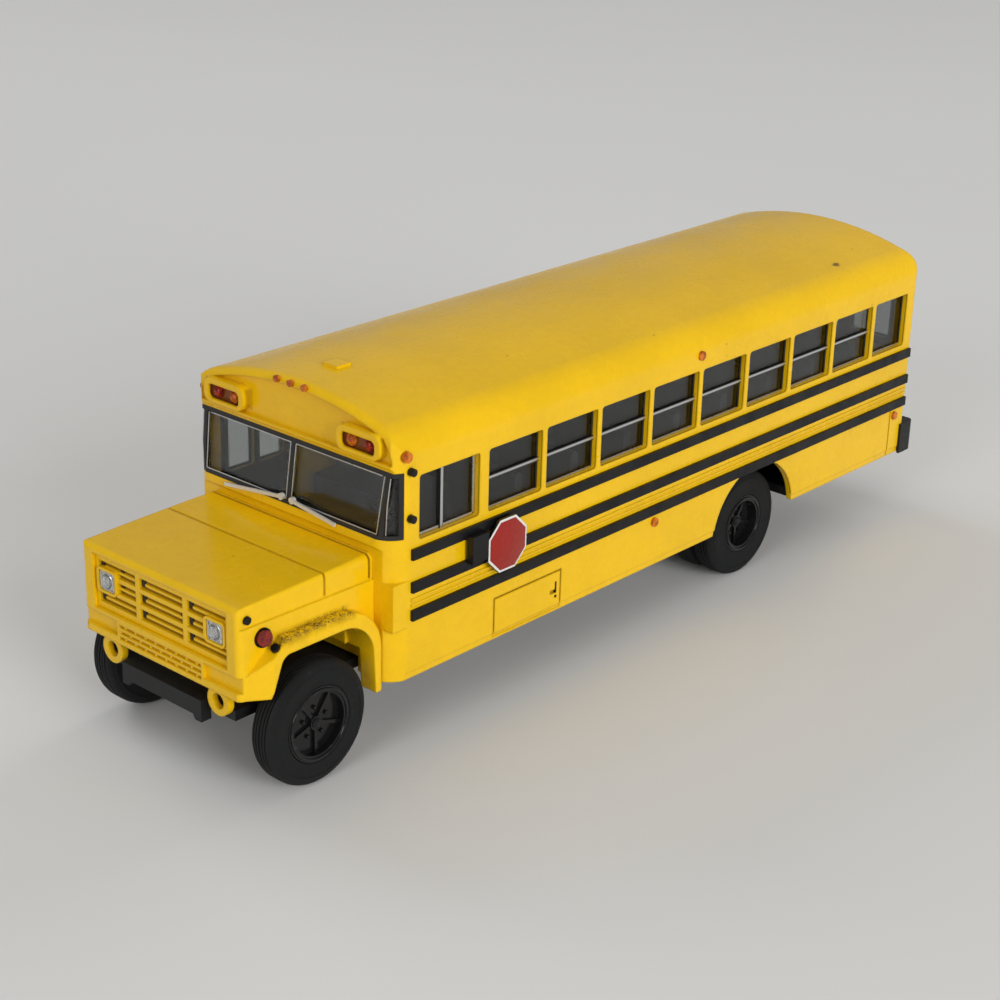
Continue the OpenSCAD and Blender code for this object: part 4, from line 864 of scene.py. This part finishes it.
# Wheels: gloss black mouldings with five thin spokes, pressed on steel wire axles. Each has a
# beaded rim, five small nuts between the spokes and a domed hub cap.
rim_gloss = moulded("rim_gloss", (0.010, 0.010, 0.011), 0.2, fineness=0.6,
    dust=(0.05, 0.05, 0.05), depth=0.006 * mm)
coat_nodes(rim_gloss, "front_rim_left", "front_rim_right", "rear_rims_left", "rear_rims_right")
axle_wire, tree, shader, place = principled("axle_wire", (0.55, 0.55, 0.56), 0.3, metal=1.0)
lines = cloud(tree, stretched(tree, place, (1.0, 0.03, 1.0)), 6000.0, 2.0)
colour_by(tree, shader, lines, (0.40, 0.40, 0.41), (0.64, 0.64, 0.65))
gloss_by(tree, shader, lines, 0.3, 0.7, 0.22, 0.42)
coat_nodes(axle_wire, "front_axle", "rear_axle")
wheel_z = 7.24
front_axle_x = 53.625
rear_axle_x = -24.175
front_y = 13.4
rear_inner_y = 9.0
rear_outer_y = 12.95
front_rim_r = 4.4
rear_rim_r = 3.9
nut_circle_r = 1.75
bead_r = 0.16
bead_turns = [k * math.pi / 4 for k in range(8)]
bead_outline = [(bead_r * math.cos(turn), bead_r * math.sin(turn)) for turn in bead_turns]
cap_outline = ((0.0, -0.1), (0.62, -0.1), (0.62, 0.08), (0.5, 0.2), (0.28, 0.28), (0.0, 0.3))
nut_outline = ((0.0, -0.1), (0.27, -0.1), (0.27, 0.22), (0.2, 0.3), (0.0, 0.3))
# Wheel sets as [body, axle x, middle of the outer wheel, rim radius, depth of the dish]
for body, axle_x, track_y, rim_r, dish in (
    ("front_axle_set", front_axle_x, front_y, front_rim_r, 0.9),
    ("rear_axle_set", rear_axle_x, rear_outer_y, rear_rim_r, 1.5),
):
    shape = bmesh.new()
    for side in (-1, 1):
        rim_y = track_y + 1.6
        web_y = rim_y - dish
        out = (0, side, 0)
        edge = [(rim_r - 0.34 + radius, height) for radius, height in bead_outline]
        lathe(shape, edge, (axle_x, side * rim_y, wheel_z), out, 72, ring=True)
        lathe(shape, cap_outline, (axle_x, side * (web_y + 0.5), wheel_z), out, 28)
        for k in range(5):
            angle = math.radians(k * 72 + 54)
            x = axle_x + nut_circle_r * math.cos(angle)
            z = wheel_z - nut_circle_r * math.sin(angle)
            lathe(shape, nut_outline, (x, side * web_y, z), out, 6)
    close_up(shape)
    settle(body.replace("axle_set", "wheel_fittings"), shape, rim_gloss, body)


# Tyres: hollow soft plastic rings stretched over the rims, with a plain side wall, one raised
# line on it, a round shoulder and fine ribs round the tread.
tyre_rubber = moulded("tyre_rubber", (0.009, 0.0095, 0.010), 0.74, fineness=0.8,
    dust=(0.05, 0.05, 0.048), depth=0.02 * mm)
tread = ((7.10, 0.07), (7.24, 0.10), (7.24, 0.40), (7.10, 0.43), (7.10, 0.51), (7.24, 0.54),
    (7.235, 0.80), (7.08, 0.83), (7.07, 0.91), (7.20, 0.95))
side_wall = ((7.13, 1.14), (7.00, 1.32), (6.80, 1.48), (6.55, 1.59), (6.30, 1.63), (6.24, 1.69),
    (6.14, 1.69), (6.08, 1.63), (5.70, 1.64), (5.20, 1.62), (4.95, 1.60))
# Tyres as [node, body, axle x, middles of its tyres, radius of the rim]
for node, body, axle_x, middles, rim_r in (
    ("front_tyre_left", "front_axle_set", front_axle_x, (front_y,), front_rim_r),
    ("front_tyre_right", "front_axle_set", front_axle_x, (-front_y,), front_rim_r),
    ("rear_tyres_left", "rear_axle_set", rear_axle_x, (rear_inner_y, rear_outer_y), rear_rim_r),
    ("rear_tyres_right", "rear_axle_set", rear_axle_x, (-rear_inner_y, -rear_outer_y), rear_rim_r),
):
    bead = ((rim_r + 0.30, 1.66), (rim_r + 0.14, 1.66), (rim_r + 0.03, 1.52))
    half = tread + side_wall + bead
    outline = list(half) + [(radius, -height) for radius, height in reversed(half)]
    shape = bmesh.new()
    for y in middles:
        lathe(shape, outline, (axle_x, y, wheel_z), (0, 1, 0), 96, ring=True)
    close_up(shape)
    settle(node.replace("tyre", "tread"), shape, tyre_rubber, body, replaced=(node,))
